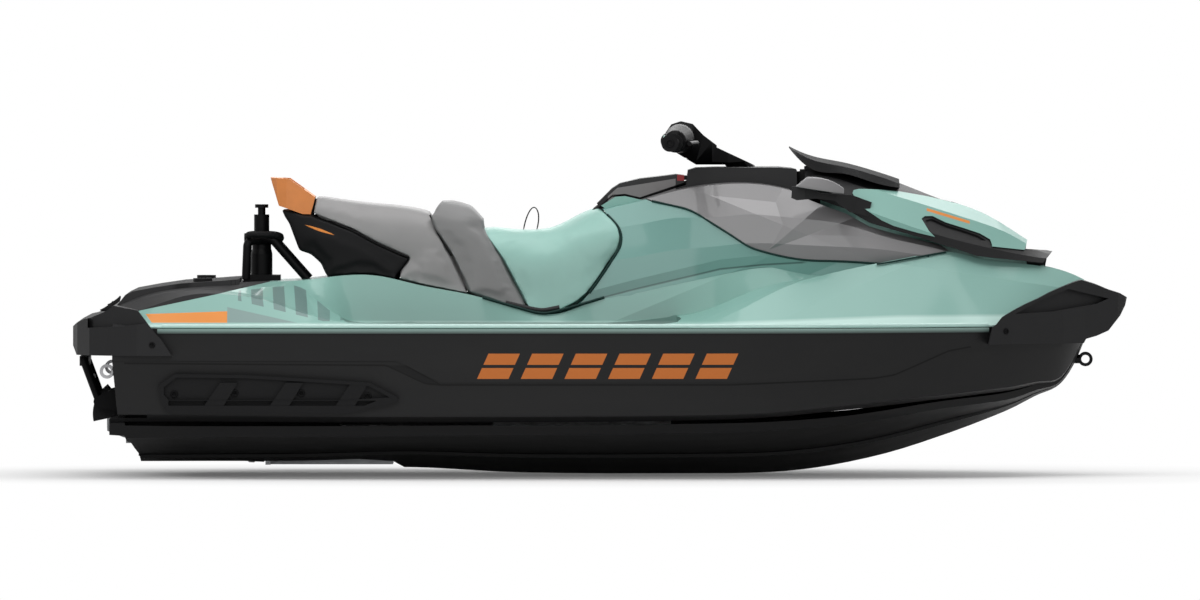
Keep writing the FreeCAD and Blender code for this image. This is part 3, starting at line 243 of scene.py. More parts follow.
# %% Satin black hull moulding
STEP_SHADOW_BLACK = (0.0006, 0.0006, 0.0006)
STEP_LOW, STEP_HIGH = 0.0224, 0.084
BAR_LEAN, BAR_PITCH, BAR_COUNT = 0.45, 0.1365, 6.0
BAR_LOW, BAR_SPLIT, BAR_HIGH = 0.042, 0.081, 0.121
STEP = [(-1.5, 0.09), (-0.671, 0.084), (-0.552, 0.028), (-0.5, 0.0224), (0.407, 0.0224), (0.852, 0.041),
        (0.918, 0.051), (0.984, 0.079), (1.091, 0.126), (1.173, 0.14)]
hull_black = Finish("hull_black", linear(29, 29, 30), 0.42, Specular_IOR_Level=0.2)
ripple = hull_black.noise(9.0, 1.0)
pores = hull_black.noise(900.0)
haze = hull_black.noise(14.0, 5.0, (0.3, 1, 1))
hull_black.set("Roughness", 0.36 + haze * 0.14)
hull_black.bump(ripple + pores * 0.012, 0.25, 0.004)
x, y, z = hull_black.axes()
lean = (x - z * BAR_LEAN + 0.0155) / BAR_PITCH + 3
bars = lean.from_middle().below(0.36, 0.006) * lean.between(0.0, BAR_COUNT) * z.between(BAR_LOW, BAR_HIGH)
bars = bars * (z - BAR_SPLIT).size().above(0.005) * y.size().above(0.5)
flank_only = y.size().above(0.25)
# Painted shadow: a near-black line along the step of the topside.
step_shadow_line = (z - hull_black.run(x, STEP)).size().below(0.0026, 0.0012) * x.between(-1.49, 1.16) * flank_only
step_back = over(x, z, -0.671, STEP_HIGH, -0.552, 0.028)
step_front = over(x, z, -0.611, STEP_HIGH, -0.5, STEP_LOW)
in_step = z.between(STEP_LOW, STEP_HIGH) * flank_only
# Painted shade: the sloping face of the step is darker.
slope_shade = step_back.above(0.0) * step_front.below(0.0) * in_step
# Painted shadow: a near-black line along the front edge of the step's sloping face.
slope_shadow_line = step_front.size().below(0.0018, 0.001) * in_step
ground = hull_black.blend(haze, linear(24, 24, 25), linear(31, 31, 31))
# Painted shade: below z = -0.075 the hull is darker.
hull_black.layers(ground, (z.below(-0.075, 0.012), linear(10, 10, 11)), (slope_shade, linear(15, 15, 16)),
                  ((step_shadow_line + slope_shadow_line).least(1.0), STEP_SHADOW_BLACK), (bars, linear(196, 112, 52)))
hull_black.wears("hull")

tunnel_black = Finish("tunnel_black", linear(28, 28, 29), 0.5, Specular_IOR_Level=0.25)
tunnel_black.uneven(0.42, 0.2, 30.0, 4.0)
tunnel_black.bump(tunnel_black.noise(60.0, 3.0), 0.2, 0.002)
tunnel_black.wears("pump_tunnel", "front_bin", "footwells")

# %% [markdown]
# The teal parts are painted and clear-coated. A clear coat is a second, smooth layer over the colour, so the
# coat weight is high and the base under it rougher. Painted plastic shows orange peel, a ripple of about 3
# mm.

# %% Clear-coated teal
TEAL = linear(137, 181, 171)
TEAL_DEEP = linear(127, 171, 161)
CLOUD, PEEL = 2.2, 330.0


def painted(name, colour, deep, rough=0.34, coat=0.7, metal=0.0):
    """Paint under a clear coat. It keeps its tint, peel and wear, for finishes that build on them."""
    paint = Finish(name, colour, rough, Coat_Weight=coat, Coat_Roughness=0.06, Metallic=metal)
    paint.tint = paint.blend(paint.noise(CLOUD), deep, colour)
    paint.peel = paint.bump(paint.noise(PEEL, 1.0), 0.05, 0.0006)
    paint.wear = paint.noise(40.0, 4.0) * 0.08
    paint.set("Base Color", paint.tint)
    paint.set("Roughness", rough - 0.04 + paint.wear)
    return paint


def bow_crease(x, z):
    """The hollow crease that climbs from the bond line to the hood, as a height for the bump."""
    off = over(x, z, 0.312, 0.22, 0.714, 0.388)
    return off.within(0.0, 0.1) * 0.2 - off.within(-0.09, 0.0) * 0.12


FOLD = [(-0.0725, 0.2687), (0.101, 0.3145), (0.375, 0.3797), (0.507, 0.3935), (0.648, 0.402)]
teal_paint = painted("teal_paint", TEAL, TEAL_DEEP, 0.4, 0.35)
teal_paint.set("Specular IOR Level", 0.3)
x, y, z = teal_paint.axes()
fold_off = z - teal_paint.run(x, FOLD)
tucked = fold_off.within(0.0, 0.03) * 0.28 * x.below(0.62, 0.1)
# Painted shade: a dark line along the fold of the side panel.
fold_shade_line = fold_off.size().below(0.0028, 0.003) * x.below(0.64, 0.02)
side_tint = teal_paint.blend(teal_paint.noise(CLOUD), linear(103, 149, 141), linear(111, 158, 150))
teal_paint.layers(side_tint, (fold_shade_line, linear(62, 98, 92)))
teal_paint.bump(tucked + bow_crease(x, z), 1.0, 1.0, teal_paint.peel)
teal_paint.wears("body_side_left", "body_side_right")

STRIPE_START, STRIPE_END, STRIPE_DROP = 1.024, 1.16, 0.305
INSERT_COAT = 0.12
insert_paint = painted("insert_paint", TEAL, TEAL_DEEP, 0.45, INSERT_COAT)
insert_paint.set("Specular IOR Level", 0.15)
x, y, z = insert_paint.axes()
stripe = (z + (x - STRIPE_START) * STRIPE_DROP - 0.5665).size().below(0.0045)
stripe = stripe * x.between(STRIPE_START, STRIPE_END)
spine = (y.size() + x * 0.4).below(0.452, 0.002)
insert_paint.layers(insert_paint.tint, (stripe, linear(222, 140, 70)), (spine, linear(28, 28, 29)))
insert_paint.set("Coat Weight", (1 - spine) * INSERT_COAT)
insert_paint.wears("hood_insert")

# %% [markdown]
# The deck is the same teal, with two flat stickers on each flank: an orange flash behind, and a grey wedge
# that runs forward from it. Their edges are straight lines in the side view, so each is a product of half
# planes. Above the crest the upper flank has a row of plain grey bars. The stern corners and the platform
# are left in the black of the moulding. The strip along the bond line is painted a lighter teal, a painted
# highlight.

# %% The deck with its flank graphics
DECK_COAT = 0.3
FLASH_START, WEDGE_START, WEDGE_END, FOOT_Z = -1.425, -1.168, -0.9, 0.217
deck_paint = painted("deck_paint", TEAL, TEAL_DEEP, 0.4, DECK_COAT)
x, y, z = deck_paint.axes()
bow_top = over(x, z, 0.922, 0.3996, 1.436, 0.3204).within(0.0, 0.14) * -0.42
deck_paint.bump(bow_crease(x, z) + bow_top, 1.0, 1.0, deck_paint.peel)
side = y.size().above(0.52) * z.above(FOOT_Z)
flash = (x + (z - 0.246) * 0.75).above(FLASH_START) * x.below(WEDGE_START) * side
flash = flash * (z - (x - FLASH_START) * 0.035).below(0.244)
wedge = x.between(WEDGE_START, WEDGE_END) * (z + (x + 1.15) * 0.222).below(0.262) * side
wedge = wedge * (z - (x + 1.4) * 0.08).below(0.252)
bar_row = ((x + z * 0.12) * 14.9).from_middle().below(0.27, 0.012) * x.between(-1.135, -0.765)
bar_row = bar_row * z.above(0.222) * (z - (x + 1.1) * 0.09).below(0.318)
bar_row = bar_row * (z + (x + 1.16) * 0.24).above(0.292) * y.size().above(0.3)
corner = (x + (z - 0.2525) * 0.795).below(-1.446) * z.above(0.18)
platform = (z - (x + 1.446) * 0.2134).above(0.2535) * x.below(-1.02)
corner = (corner + platform).least(1.0)
# Painted highlight: a lighter teal strip along the bond line, low on the flank.
lip_highlight = (z - ((x - 0.3) * 0.035).within(0.0, 0.022)).below(0.2135, 0.012) * z.above(0.19)
deck_paint.layers(deck_paint.tint, (bar_row, linear(104, 132, 128)), (wedge, linear(122, 148, 144)),
                  (flash, linear(226, 136, 38)), (lip_highlight, linear(190, 222, 214)), (corner, linear(34, 34, 35)))
deck_paint.set("Coat Weight", (1 - corner) * DECK_COAT)
deck_paint.set("Roughness", 0.4 + deck_paint.wear + corner * 0.3)
deck_paint.set("Specular IOR Level", 0.25)
deck_paint.wears("deck")

# %% [markdown]
# The upper fairing and mirrors are a metallic grey. The flake is far too fine to see, and shows only as a
# softer, brighter highlight, so it is part metallic with a rougher base and a clear coat. The fairing is
# pressed into facets: a shelf that faces up, a hollow behind the mirror, and a light flank. Each is a plane
# in the bump's height.

# %% Metallic grey
grey_paint = painted("grey_paint", linear(122, 121, 122), linear(113, 112, 113), 0.42, 0.4, 0.35)
x, y, z = grey_paint.axes()
ridge = over(x, z, 0.342, 0.6107, 0.572, 0.518)
upper = ridge - over(x, z, 0.342, 0.6107, 0.61, 0.5836)
ahead = ((z - 0.518) * 0.58 + 0.572 - x) * 0.9
shelf = ridge.least(upper, ahead).math("MAXIMUM", 0.0) * -0.45
below_ridge = ridge.within(-0.12, 0.0) * 0.16
valley = over(x, z, 0.648, 0.4858, 0.779, 0.5347)
shade_facet = valley.least(0 - ahead).within(0.0, 0.07) * 0.42
light_facet = (0 - valley).least(ridge).within(0.0, 0.1) * 0.22
facets = shelf + below_ridge + shade_facet + light_facet
grey_paint.bump(facets, 1.0, 1.0, grey_paint.peel)
grey_paint.wears("fairing_left", "fairing_right")

# %% [markdown]
# Hood, console, visor and dash are moulded plastic, with a fine leather-like texture cut in the mould to
# hide scratches. Its height comes from small cells, about a millimetre across, and its sheen varies a
# little. Bumpers, stripes and grips are rubber with the same kind of grain.


# %% Textured plastics and rubbers
def moulded(name, colour, rough, grain=1400.0, depth=0.25, shine=0.3):
    plastic = Finish(name, colour, rough, Specular_IOR_Level=shine)
    grains = plastic.cells(grain)
    wear = plastic.noise(18.0, 5.0)
    worn, clean = [c * 0.82 for c in colour], [c * 1.15 for c in colour]
    plastic.set("Roughness", rough - 0.06 + wear * 0.12)
    plastic.set("Base Color", plastic.blend(wear, worn, clean))
    plastic.bump(grains, depth, 0.0004)
    return plastic


PLATE_BLACK = linear(27, 27, 28)
black_plastic = moulded("black_plastic", linear(26, 26, 27), 0.5, shine=0.22)
black_plastic.wears("hood", "glovebox_bin", "gauge", "mirrors")
moulded("visor_plastic", linear(18, 18, 19), 0.6, shine=0.04).wears("visor")


def side_plate(x, y, z):
    """The grey trim plate that runs over the sides of the console and its lid."""
    top = (x * 0.16 + 0.6245).least(x * 0.893 + 0.5867)
    return (z - top).below(0.0) * x.between(0.022, 0.235) * y.size().above(0.04) * z.above(0.585)


console_plastic = moulded("console_plastic", linear(26, 26, 27), 0.5, shine=0.22)
x, y, z = console_plastic.axes()
cheek = (z - (x * 0.62 + 0.5765).least(0.6095)).below(0.0) * x.below(0.127) * y.size().above(0.04)
cheek = cheek * z.above(0.5)
console_plastic.layers(PLATE_BLACK, (side_plate(x, y, z), linear(112, 110, 110)), (cheek, TEAL))
console_plastic.wears("steering_console")
lid_plastic = moulded("lid_plastic", linear(30, 30, 31), 0.45)
x, y, z = lid_plastic.axes()
catch = x.between(0.24, 0.262) * z.above(0.6555) * y.size().above(0.055)
lid_plastic.layers(PLATE_BLACK, (side_plate(x, y, z), linear(118, 116, 116)), (catch, linear(150, 40, 44)))
lid_plastic.wears("glovebox_lid")
fitting_plastic = moulded("fitting_plastic", linear(20, 20, 21), 0.52, 1100.0, 0.35, 0.15)
fitting_plastic.wears("sponson_left", "sponson_right", "cargo_anchors", "reverse_gate", "ride_plate")
moulded("orange_plastic", linear(222, 136, 70), 0.42, 1500.0, 0.15, 0.4).wears("seat_handle")
moulded("bumper_rubber", linear(30, 30, 31), 0.56, 800.0, 0.3, 0.2).wears("stern_bumper", "bow_bumper")
stripe_rubber = moulded("stripe_rubber", linear(150, 158, 156), 0.45, 900.0, 0.1)
x, y, z = stripe_rubber.axes()
# Painted highlight and shade: the rail's colour runs from dark at its foot to pale teal at its top.
height = ((z - 0.183) / 0.015).within(0.0, 1.0)
stripe_rubber.set("Base Color", stripe_rubber.blend(height, linear(46, 54, 52), linear(146, 174, 167)))
stripe_rubber.wears("rub_rails")
grip_rubber = moulded("grip_rubber", linear(17, 17, 18), 0.7, 700.0, 0.3, 0.15)
x, y, z = grip_rubber.axes()
ribs = (y.size() * 125.0).from_middle().above(0.2, 0.1)
grip_rubber.bump(ribs + grip_rubber.cells(900.0) * 0.1, 0.7, 0.0012)
grip_rubber.wears("grips")

# %% [markdown]
# The deck mats are closed-cell foam, cut with lengthwise grooves for grip. A groove every 14 mm comes from
# the distance to the middle of each strip. The foam itself is pitted like a sponge.

# %% Grooved foam mats
mat_foam = Finish("mat_foam", linear(48, 48, 49), 0.88)
x, y, z = mat_foam.axes()
groove = (y * 71.0).from_middle()
pits = mat_foam.noise(1300.0, 3.0)
channel = groove.below(0.4, 0.08)
mat_foam.set("Base Color", mat_foam.blend(channel, linear(20, 20, 21), linear(46, 46, 47)))
mat_foam.set("Roughness", 0.8 + pits * 0.15)
mat_foam.bump(channel + pits * 0.15, 0.6, 0.0012)
mat_foam.wears("deck_mats")

# %% [markdown]
# The pylon, ladder and bars are steel or aluminium tube with a powder coat, which has a fine leathery
# ripple. The jet pump and nozzle are cast and blasted aluminium. The impeller is machined stainless steel.
# The bow eye is black, and both stern eyes are bright.


# %% Metals
def powder_coated(name, colour, rough):
    coat = Finish(name, colour, rough, Specular_IOR_Level=0.08)
    coat.uneven(rough - 0.05, 0.1, 25.0, 4.0)
    coat.bump(coat.noise(700.0, 1.0), 0.15, 0.0006)
    return coat


black_metal = powder_coated("black_metal", linear(13, 13, 14), 0.4)
black_metal.wears("handlebar", "control_levers", "pylon_base", "pylon_mast", "ladder", "ladder_brackets")
cast_alloy = Finish("cast_alloy", linear(172, 174, 176), 0.45, Metallic=0.9)
cast_alloy.uneven(0.4, 0.25, 50.0, 5.0)
cast_alloy.bump(cast_alloy.noise(600.0, 3.0), 0.35, 0.0006)
cast_alloy.wears("pump_housing", "nozzle", "intake_grate", "engine_block")
bright_steel = Finish("bright_steel", linear(190, 190, 192), 0.24, Metallic=1.0)
bright_steel.uneven(0.18, 0.2, 300.0, 4.0, (1, 1, 12))
bright_steel.bump(bright_steel.noise(500.0, 2.0, (1, 1, 20)), 0.1, 0.0003)
bright_steel.wears("impeller")
eye_steel = Finish("eye_steel", linear(186, 186, 188), 0.3, Metallic=1.0)
x, y, z = eye_steel.axes()
eye_steel.set("Base Color", eye_steel.blend(x.above(0.5), linear(186, 186, 188), linear(30, 30, 31)))
eye_steel.uneven(0.25, 0.2, 300.0, 4.0, (1, 1, 12))
eye_steel.wears("tow_eyes")

# %% [markdown]
# The seat is vinyl pulled over foam. Marine vinyl has a fine leather grain, cells of about 1.5 mm with
# creases between them, and a low sheen that is duller in the hollows of the grain.


# %% Seat vinyl
def vinyl(name, colour, rough=0.5, shine=0.4):
    skin = Finish(name, colour, rough, Specular_IOR_Level=shine)
    crease = skin.cells(620.0, "DISTANCE_TO_EDGE")
    fold = skin.noise(12.0, 3.0)
    worn, clean = [c * 0.9 for c in colour], [min(1, c * 1.07) for c in colour]
    skin.set("Base Color", skin.blend(fold, worn, clean))
    skin.set("Roughness", rough - 0.05 + fold * 0.1)
    skin.bump(crease.math("MINIMUM", 0.25), 0.28, 0.0007)
    return skin


teal_vinyl = vinyl("teal_vinyl", linear(147, 190, 180), 0.42)
grey_vinyl = vinyl("grey_vinyl", linear(140, 139, 139), 0.46)
# Painted shade: the bolster is the grey vinyl of the rear cushion, made darker.
shaded_bolster_vinyl = vinyl("shaded_bolster_vinyl", linear(126, 126, 126), 0.5, 0.3)
black_vinyl = vinyl("black_vinyl", linear(16, 16, 17), 0.5, 0.1)
x, y, z = black_vinyl.axes()
MARK_X, MARK_Z, MARK_SLOPE = -0.885, 0.5015, 0.335
along = (x - MARK_X) / 0.047
sliver = (z + (x - MARK_X) * MARK_SLOPE - MARK_Z).size() - (1 - along * along) * 0.0042
fold_tint = black_vinyl.blend(black_vinyl.noise(12.0, 3.0), linear(13, 13, 14), linear(19, 19, 20))
black_vinyl.layers(fold_tint, (sliver.below(0.0), linear(214, 134, 66)))
webbing = Finish("webbing", linear(20, 20, 22), 0.8, Specular_IOR_Level=0.1)
x, y, z = webbing.axes()
TWILL = 640.0
twill = (x * TWILL + z * TWILL).math("SINE") * (y * TWILL - z * 300.0).math("SINE")
webbing.bump(twill, 0.5, 0.0005)
webbing.uneven(0.74, 0.2, 200.0)

# %% [markdown]
# Foam under tight vinyl swells between its edges. Each cushion starts as the CAD solid, is made into even
# quads by a voxel remesh, drawn in a little, and blown up by a cloth simulation with pressure. How far a
# point may go is capped, so that the pad stays in its place between the body panels.


# %% Cushions
PRESSURE = 4.0
CLOTH_STEPS = 20


def mode(kind):
    bpy.ops.object.mode_set(mode=kind)


def only(thing):
    """Deselects everything else and makes one object active."""
    if bpy.context.object and bpy.context.object.mode != "OBJECT":
        mode("OBJECT")
    bpy.ops.object.select_all(action="DESELECT")
    thing.select_set(True)
    bpy.context.view_layer.objects.active = thing


def applied(thing, kind, **settings):
    """Adds a modifier and applies it."""
    only(thing)
    step = thing.modifiers.new(kind.title(), kind)
    for key, value in settings.items():
        setattr(step, key, value)
    bpy.ops.object.modifier_apply(modifier=step.name)


def copy_of(name, source):
    """A free copy of a CAD node, with its loose triangles merged."""
    thing = bpy.data.objects.new(name, source.data.copy())
    bpy.context.scene.collection.objects.link(thing)
    only(thing)
    mode("EDIT")
    bpy.ops.mesh.select_all(action="SELECT")
    bpy.ops.mesh.remove_doubles(threshold=0.00002)
    bpy.ops.mesh.normals_make_consistent(inside=False)
    mode("OBJECT")
    return thing


def pressed(pad, profile):
    """Presses the pad down under a bent line of the side view, in (X, Z)."""
    for corner in pad.data.vertices:
        for (xa, za), (xb, zb) in zip(profile, profile[1:]):
            if xa <= corner.co.x < xb:
                corner.co.z = min(corner.co.z, za + (zb - za) * (corner.co.x - xa) / (xb - xa))


def cushion(name, source, finish, slot, voxel, swell, drawn_in, profile=()):
    """A padded copy of a CAD cushion, pressed under its profile and blown up by a cloth simulation."""
    pad = copy_of(name, node[source])
    pad.data.remesh_voxel_size = voxel
    bpy.ops.object.voxel_remesh()
    pressed(pad, profile)
    finish.onto(pad)
    mode("EDIT")
    bpy.ops.mesh.select_all(action="SELECT")
    bpy.ops.mesh.vertices_smooth(factor=0.5, repeat=2)
    bpy.ops.transform.shrink_fatten(value=-drawn_in)
    mode("OBJECT")
    start = [v.co.copy() for v in pad.data.vertices]
    cloth = pad.modifiers.new("Cloth", "CLOTH")
    cloth.settings.use_pressure = True
    cloth.settings.uniform_pressure_force = PRESSURE
    cloth.settings.effector_weights.gravity = 0.0
    for step in range(1, CLOTH_STEPS + 1):
        bpy.context.scene.frame_set(step)
    bpy.ops.object.modifier_apply(modifier=cloth.name)
    for vertex, before in zip(pad.data.vertices, start):
        move = vertex.co - before
        if move.length > swell:
            vertex.co = before + move.normalized() * swell
    bpy.context.scene.frame_set(1)
    applied(pad, "SMOOTH", factor=0.5, iterations=10)
    applied(pad, "SUBSURF", levels=1, render_levels=1)
    bpy.ops.object.shade_smooth()
    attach(pad, "hull")
    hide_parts(source)
    print(name, len(pad.data.polygons), "faces")
    return pad


BOLSTER_TOP = [(-0.455, 0.601), (-0.436, 0.595), (-0.409, 0.573), (-0.36, 0.517)]
cushion("front_cushion", "seat_front", teal_vinyl, "teal_vinyl", voxel=0.007, swell=0.005, drawn_in=0.003)
soft = {"voxel": 0.006, "swell": 0.006, "drawn_in": 0.003}
cushion("bolster_cushion", "seat_bolster", shaded_bolster_vinyl, "grey_vinyl", profile=BOLSTER_TOP, **soft)
rear_pad = cushion("rear_cushion", "seat_rear", grey_vinyl, "grey_vinyl", **soft)
cushion("seat_skirt", "seat_base", black_vinyl, "black_vinyl", voxel=0.006, swell=0.004, drawn_in=0.002)

# %% [markdown]
# The next pieces need shaping by hand, and small helpers do what a mouse would. start adds a primitive, pick
# selects the faces that pass a test, and pull drags the corners that pass one. sink insets the selected
# faces and moves them, for a key hole or a screen. Each test looks at a place in space.


# %% Shaping helpers
FLANKS = (-1, 1)


def alone():
    """Object mode, with nothing selected."""
    only(node["hull"])
    bpy.ops.object.select_all(action="DESELECT")


def start(kind, at, scale):
    """A new primitive at a place, alone, with its place and size in its mesh."""
    alone()
    getattr(bpy.ops.mesh, "primitive_%s_add" % kind)(location=at, size=1.0)
    bpy.context.object.scale = scale
    bpy.ops.object.transform_apply(location=True, rotation=True, scale=True)
    return bpy.context.object


def marked(thing, kind, test):
    """Edit mode, with only the faces or corners selected that pass the test."""
    only(thing)
    mode("EDIT")
    bpy.ops.mesh.select_mode(type=kind)
    bpy.ops.mesh.select_all(action="DESELECT")
    mode("OBJECT")
    for part in thing.data.polygons if kind == "FACE" else thing.data.vertices:
        part.select = bool(test(part))
    mode("EDIT")


def pick(thing, test):
    marked(thing, "FACE", lambda face: test(face.center, face.normal))


def pull(thing, test, move):
    marked(thing, "VERT", lambda corner: test(corner.co))
    bpy.ops.transform.translate(value=move)
    mode("OBJECT")


def extrude(move):
    bpy.ops.mesh.extrude_region_move(TRANSFORM_OT_translate={"value": move})


def sink(rim, move):
    bpy.ops.mesh.inset(thickness=rim)
    extrude(move)


def draw_out(move, slim):
    """Extrudes the selected faces and tapers them."""
    extrude(move)
    bpy.ops.transform.resize(value=slim)
    mode("OBJECT")


def taken_off(thing):
    """The selected faces as a new object, in object mode."""
    bpy.ops.mesh.duplicate()
    bpy.ops.mesh.separate(type="SELECTED")
    mode("OBJECT")
    return [o for o in bpy.context.selected_objects if o != thing][0]


def smooth_under(degrees):
    bpy.ops.object.shade_smooth_by_angle(angle=math.radians(degrees))


def finished(name, thing, finish, body="hull"):
    """Names a piece, applies its place to its mesh and ties it to a body."""
    thing.name = name
    only(thing)
    bpy.ops.object.transform_apply(location=True, rotation=True, scale=True)
    finish.onto(thing)
    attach(thing, body)
    print(name, len(thing.data.polygons), "faces")
    return thing


def joined(name, things, finish, body="hull"):
    """Several objects made one piece."""
    only(things[0])
    for thing in things:
        thing.select_set(True)
    bpy.ops.object.join()
    return finished(name, bpy.context.object, finish, body)


def half(target, flank):
    """The left or right one of a pair of nodes, or the one piece that has both flanks."""
    if isinstance(target, str) and target + "_left" in node:
        return target + ("_left" if flank > 0 else "_right")
    return target


def hit(name, start, way):
    """Where a ray first meets a CAD node or piece, and the surface normal there."""
    target = node[name] if isinstance(name, str) else name
    found, at, normal, face = target.ray_cast(Vector(start), Vector(way))
    if not found:
        print("no hit on", target.name, "from", start)
        return None
    return at, normal


def beside(target, at, z, flank):
    """Where a ray from the side meets a flank."""
    return hit(half(target, flank), (at, flank * 1.0, z), (0, -flank, 0))


# %% [markdown]
# Round-headed screws hold the sponsons, bumpers and plates. One is turned from a short cylinder: its top is
# inset and sunk for the key, and its rim bevelled. It is copied to each place, where a ray finds the
# surface.


# %% Screws
def screw(radius, height):
    """The pattern of a screw: a cylinder with a sunk key hole and a bevelled rim."""
    alone()
    bpy.ops.mesh.primitive_cylinder_add(vertices=24, radius=radius, depth=height)
    head = bpy.context.object
    mode("EDIT")
    bpy.ops.mesh.select_all(action="DESELECT")
    mode("OBJECT")
    for face in head.data.polygons:
        face.select = face.normal.z > 0.9
    mode("EDIT")
    sink(radius * 0.45, (0, 0, -height * 0.5))
    mode("OBJECT")
    applied(head, "BEVEL", width=radius * 0.14, segments=2, limit_method="ANGLE")
    smooth_under(35)
    return head


def set_screws(name, places, radius, height, finish, slot, body="hull"):
    """Copies one screw to each (point, normal) that a ray found, and joins them."""
    head = screw(radius, height)
    copies = []
    for at, normal in filter(None, places):
        twin = head.copy()
        twin.data = head.data.copy()
        bpy.context.scene.collection.objects.link(twin)
        twin.matrix_world = Matrix.Translation(at) @ normal.to_track_quat("Z", "Y").to_matrix().to_4x4()
        copies.append(twin)
    bpy.data.objects.remove(head)
    return joined(name, copies, finish, body)


def side_places(target, spots):
    """The same spots on both flanks, given as X and Z."""
    return [beside(target, at, z, flank) for at, z in spots for flank in FLANKS]


SPONSON_SCREW = (0.0125, 0.008, black_metal, "black_metal")
BUMPER_SCREW = (0.01, 0.006, black_metal, "black_metal")
PLATE_SCREW = (0.01, 0.008, bright_steel, "steel")
SPONSON_SPOTS = [(-1.334, -0.006), (-1.145, -0.003), (-0.937, -0.003), (-0.729, -0.013)]
PLATE_ROWS, PLATE_WIDE = (-1.1, -1.27, -1.43), (-0.11, 0.11)
set_screws("sponson_screws", side_places("sponson", SPONSON_SPOTS), *SPONSON_SCREW)
set_screws("stern_bumper_screws", side_places("stern_bumper", [(-1.402, 0.148)]), *BUMPER_SCREW)
set_screws("bow_bumper_screws", side_places("bow_bumper", [(1.271, 0.186)]), *BUMPER_SCREW)
plate_spots = [hit("ride_plate", (at, wide, -0.5), (0, 0, 1)) for at in PLATE_ROWS for wide in PLATE_WIDE]
set_screws("ride_plate_screws", plate_spots, *PLATE_SCREW)

# %% [markdown]
# Turned knobs and plugs are the same shape as a screw, only larger: two drain plugs in the transom, the lock
# knob of the tow pylon, the round buttons of the switch pods and the plugs in the bar ends. Rays find the
# surfaces, except at the bar ends.

# %% Knobs, plugs and buttons
red_plastic = moulded("red_plastic", linear(156, 44, 44), 0.4, 1500.0, 0.1, 0.5)
drains = [hit("hull", (-2.0, flank * 0.262, -0.035), (1, 0, 0)) for flank in FLANKS]
set_screws("drain_plugs", drains, 0.019, 0.016, fitting_plastic, "black_plastic")
lock = hit("pylon_base", (-1.4, 0.0, 0.474), (1, 0, 0))
set_screws("pylon_lock_knob", [lock], 0.015, 0.034, grip_rubber, "black_rubber")
BUTTON_ROW = (0.138, 0.166, 0.192)
switches = [hit("handlebar", (-0.1, side * at, 0.803), (1, 0, -0.05)) for side in FLANKS for at in BUTTON_ROW]
set_screws("switch_buttons", switches, 0.0085, 0.008, stripe_rubber, "pale_rail", "handlebar")
stop = hit("handlebar", (-0.1, 0.152, 0.776), (1, 0, 0))
set_screws("stop_button", [stop], 0.011, 0.012, red_plastic, "orange", "handlebar")
ends = [(Vector((0.2158, flank * 0.3718, 0.776)), Vector((-0.102, flank * 0.995, 0))) for flank in FLANKS]
set_screws("bar_end_plugs", ends, 0.014, 0.008, black_metal, "black_metal", "handlebar")

# %% [markdown]
# A mirror is a leaf-shaped shell with its glass leaning back, so that a standing rider sees the towed board.
# The shell starts as a box round the rear part, and its nose is drawn out in two steps. The sloping rear
# face is inset and sunk for the glass. The top is metallic grey and the rim and arm are black plastic.

# %% Mirrors
shell_grey = painted("shell_grey", linear(128, 127, 128), linear(116, 115, 116), 0.4, 0.5, 0.4)
x, y, z = shell_grey.axes()
rim = (z + (x - 0.606) * 0.2).below(0.6405, 0.001)
grey_tint = shell_grey.blend(shell_grey.noise(CLOUD), linear(116, 115, 116), linear(130, 129, 130))
shell_grey.layers(grey_tint, (rim, linear(30, 30, 31)))
mirror_glass = Finish("mirror_glass", linear(196, 202, 206), 0.04, Metallic=1.0)
mirror_glass.uneven(0.02, 0.05, 20.0, 5.0)
SHELL_X, SHELL_OUT, SHELL_Z = 0.655, 0.366, 0.6465
SHELL_SIZE = (0.094, 0.116, 0.043)
LEAN_BACK, CHIN_UP = (0.038, 0, 0.003), (0, 0, 0.015)
NOSE_STEPS = [(0.042, -0.012, (1, 0.86, 0.66)), (0.018, -0.009, (1, 0.78, 0.6))]
shells = []
glasses = []
for flank in FLANKS:
    shell = start("cube", (SHELL_X, flank * SHELL_OUT, SHELL_Z), SHELL_SIZE)
    pull(shell, lambda c: c.x < SHELL_X and c.z > SHELL_Z, LEAN_BACK)
    pull(shell, lambda c: c.x < SHELL_X and c.z < SHELL_Z, CHIN_UP)
    for reach, drop, slim in NOSE_STEPS:
        front = max(v.co.x for v in shell.data.vertices)
        pick(shell, lambda c, n: n.x > 0.6 and c.x > front - 0.003)
        draw_out((reach, 0, drop), slim)
    pick(shell, lambda c, n: n.x < -0.35 and n.z > 0.3)
    sink(0.006, (0.003, 0, -0.004))
    glass = taken_off(shell)
    only(glass)
    mode("EDIT")
    bpy.ops.mesh.select_all(action="SELECT")
    bpy.ops.mesh.bevel(affect="VERTICES", offset=0.008, segments=4)
    bpy.ops.transform.translate(value=(-0.0008, 0, 0.001))
    mode("OBJECT")
    applied(glass, "SOLIDIFY", thickness=0.002, offset=-1.0)
    applied(shell, "BEVEL", width=0.0035, segments=2, limit_method="ANGLE")
    applied(shell, "SUBSURF", levels=2, render_levels=2)
    smooth_under(50)
    shells.append(shell)
    glasses.append(glass)

mirror_shells = joined("mirror_shells", shells, shell_grey, "hood")
joined("mirror_glasses", glasses, mirror_glass, "hood")
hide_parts("mirrors")

# %% [markdown]
# The instrument is a flat display in a shallow bezel. The bezel is a slab with its face inset and sunk. The
# screen is that sunk face, taken off as a piece of its own. It shows a plain round scale with ticks, a
# needle and two bar scales, drawn from the distance to the dial's middle.

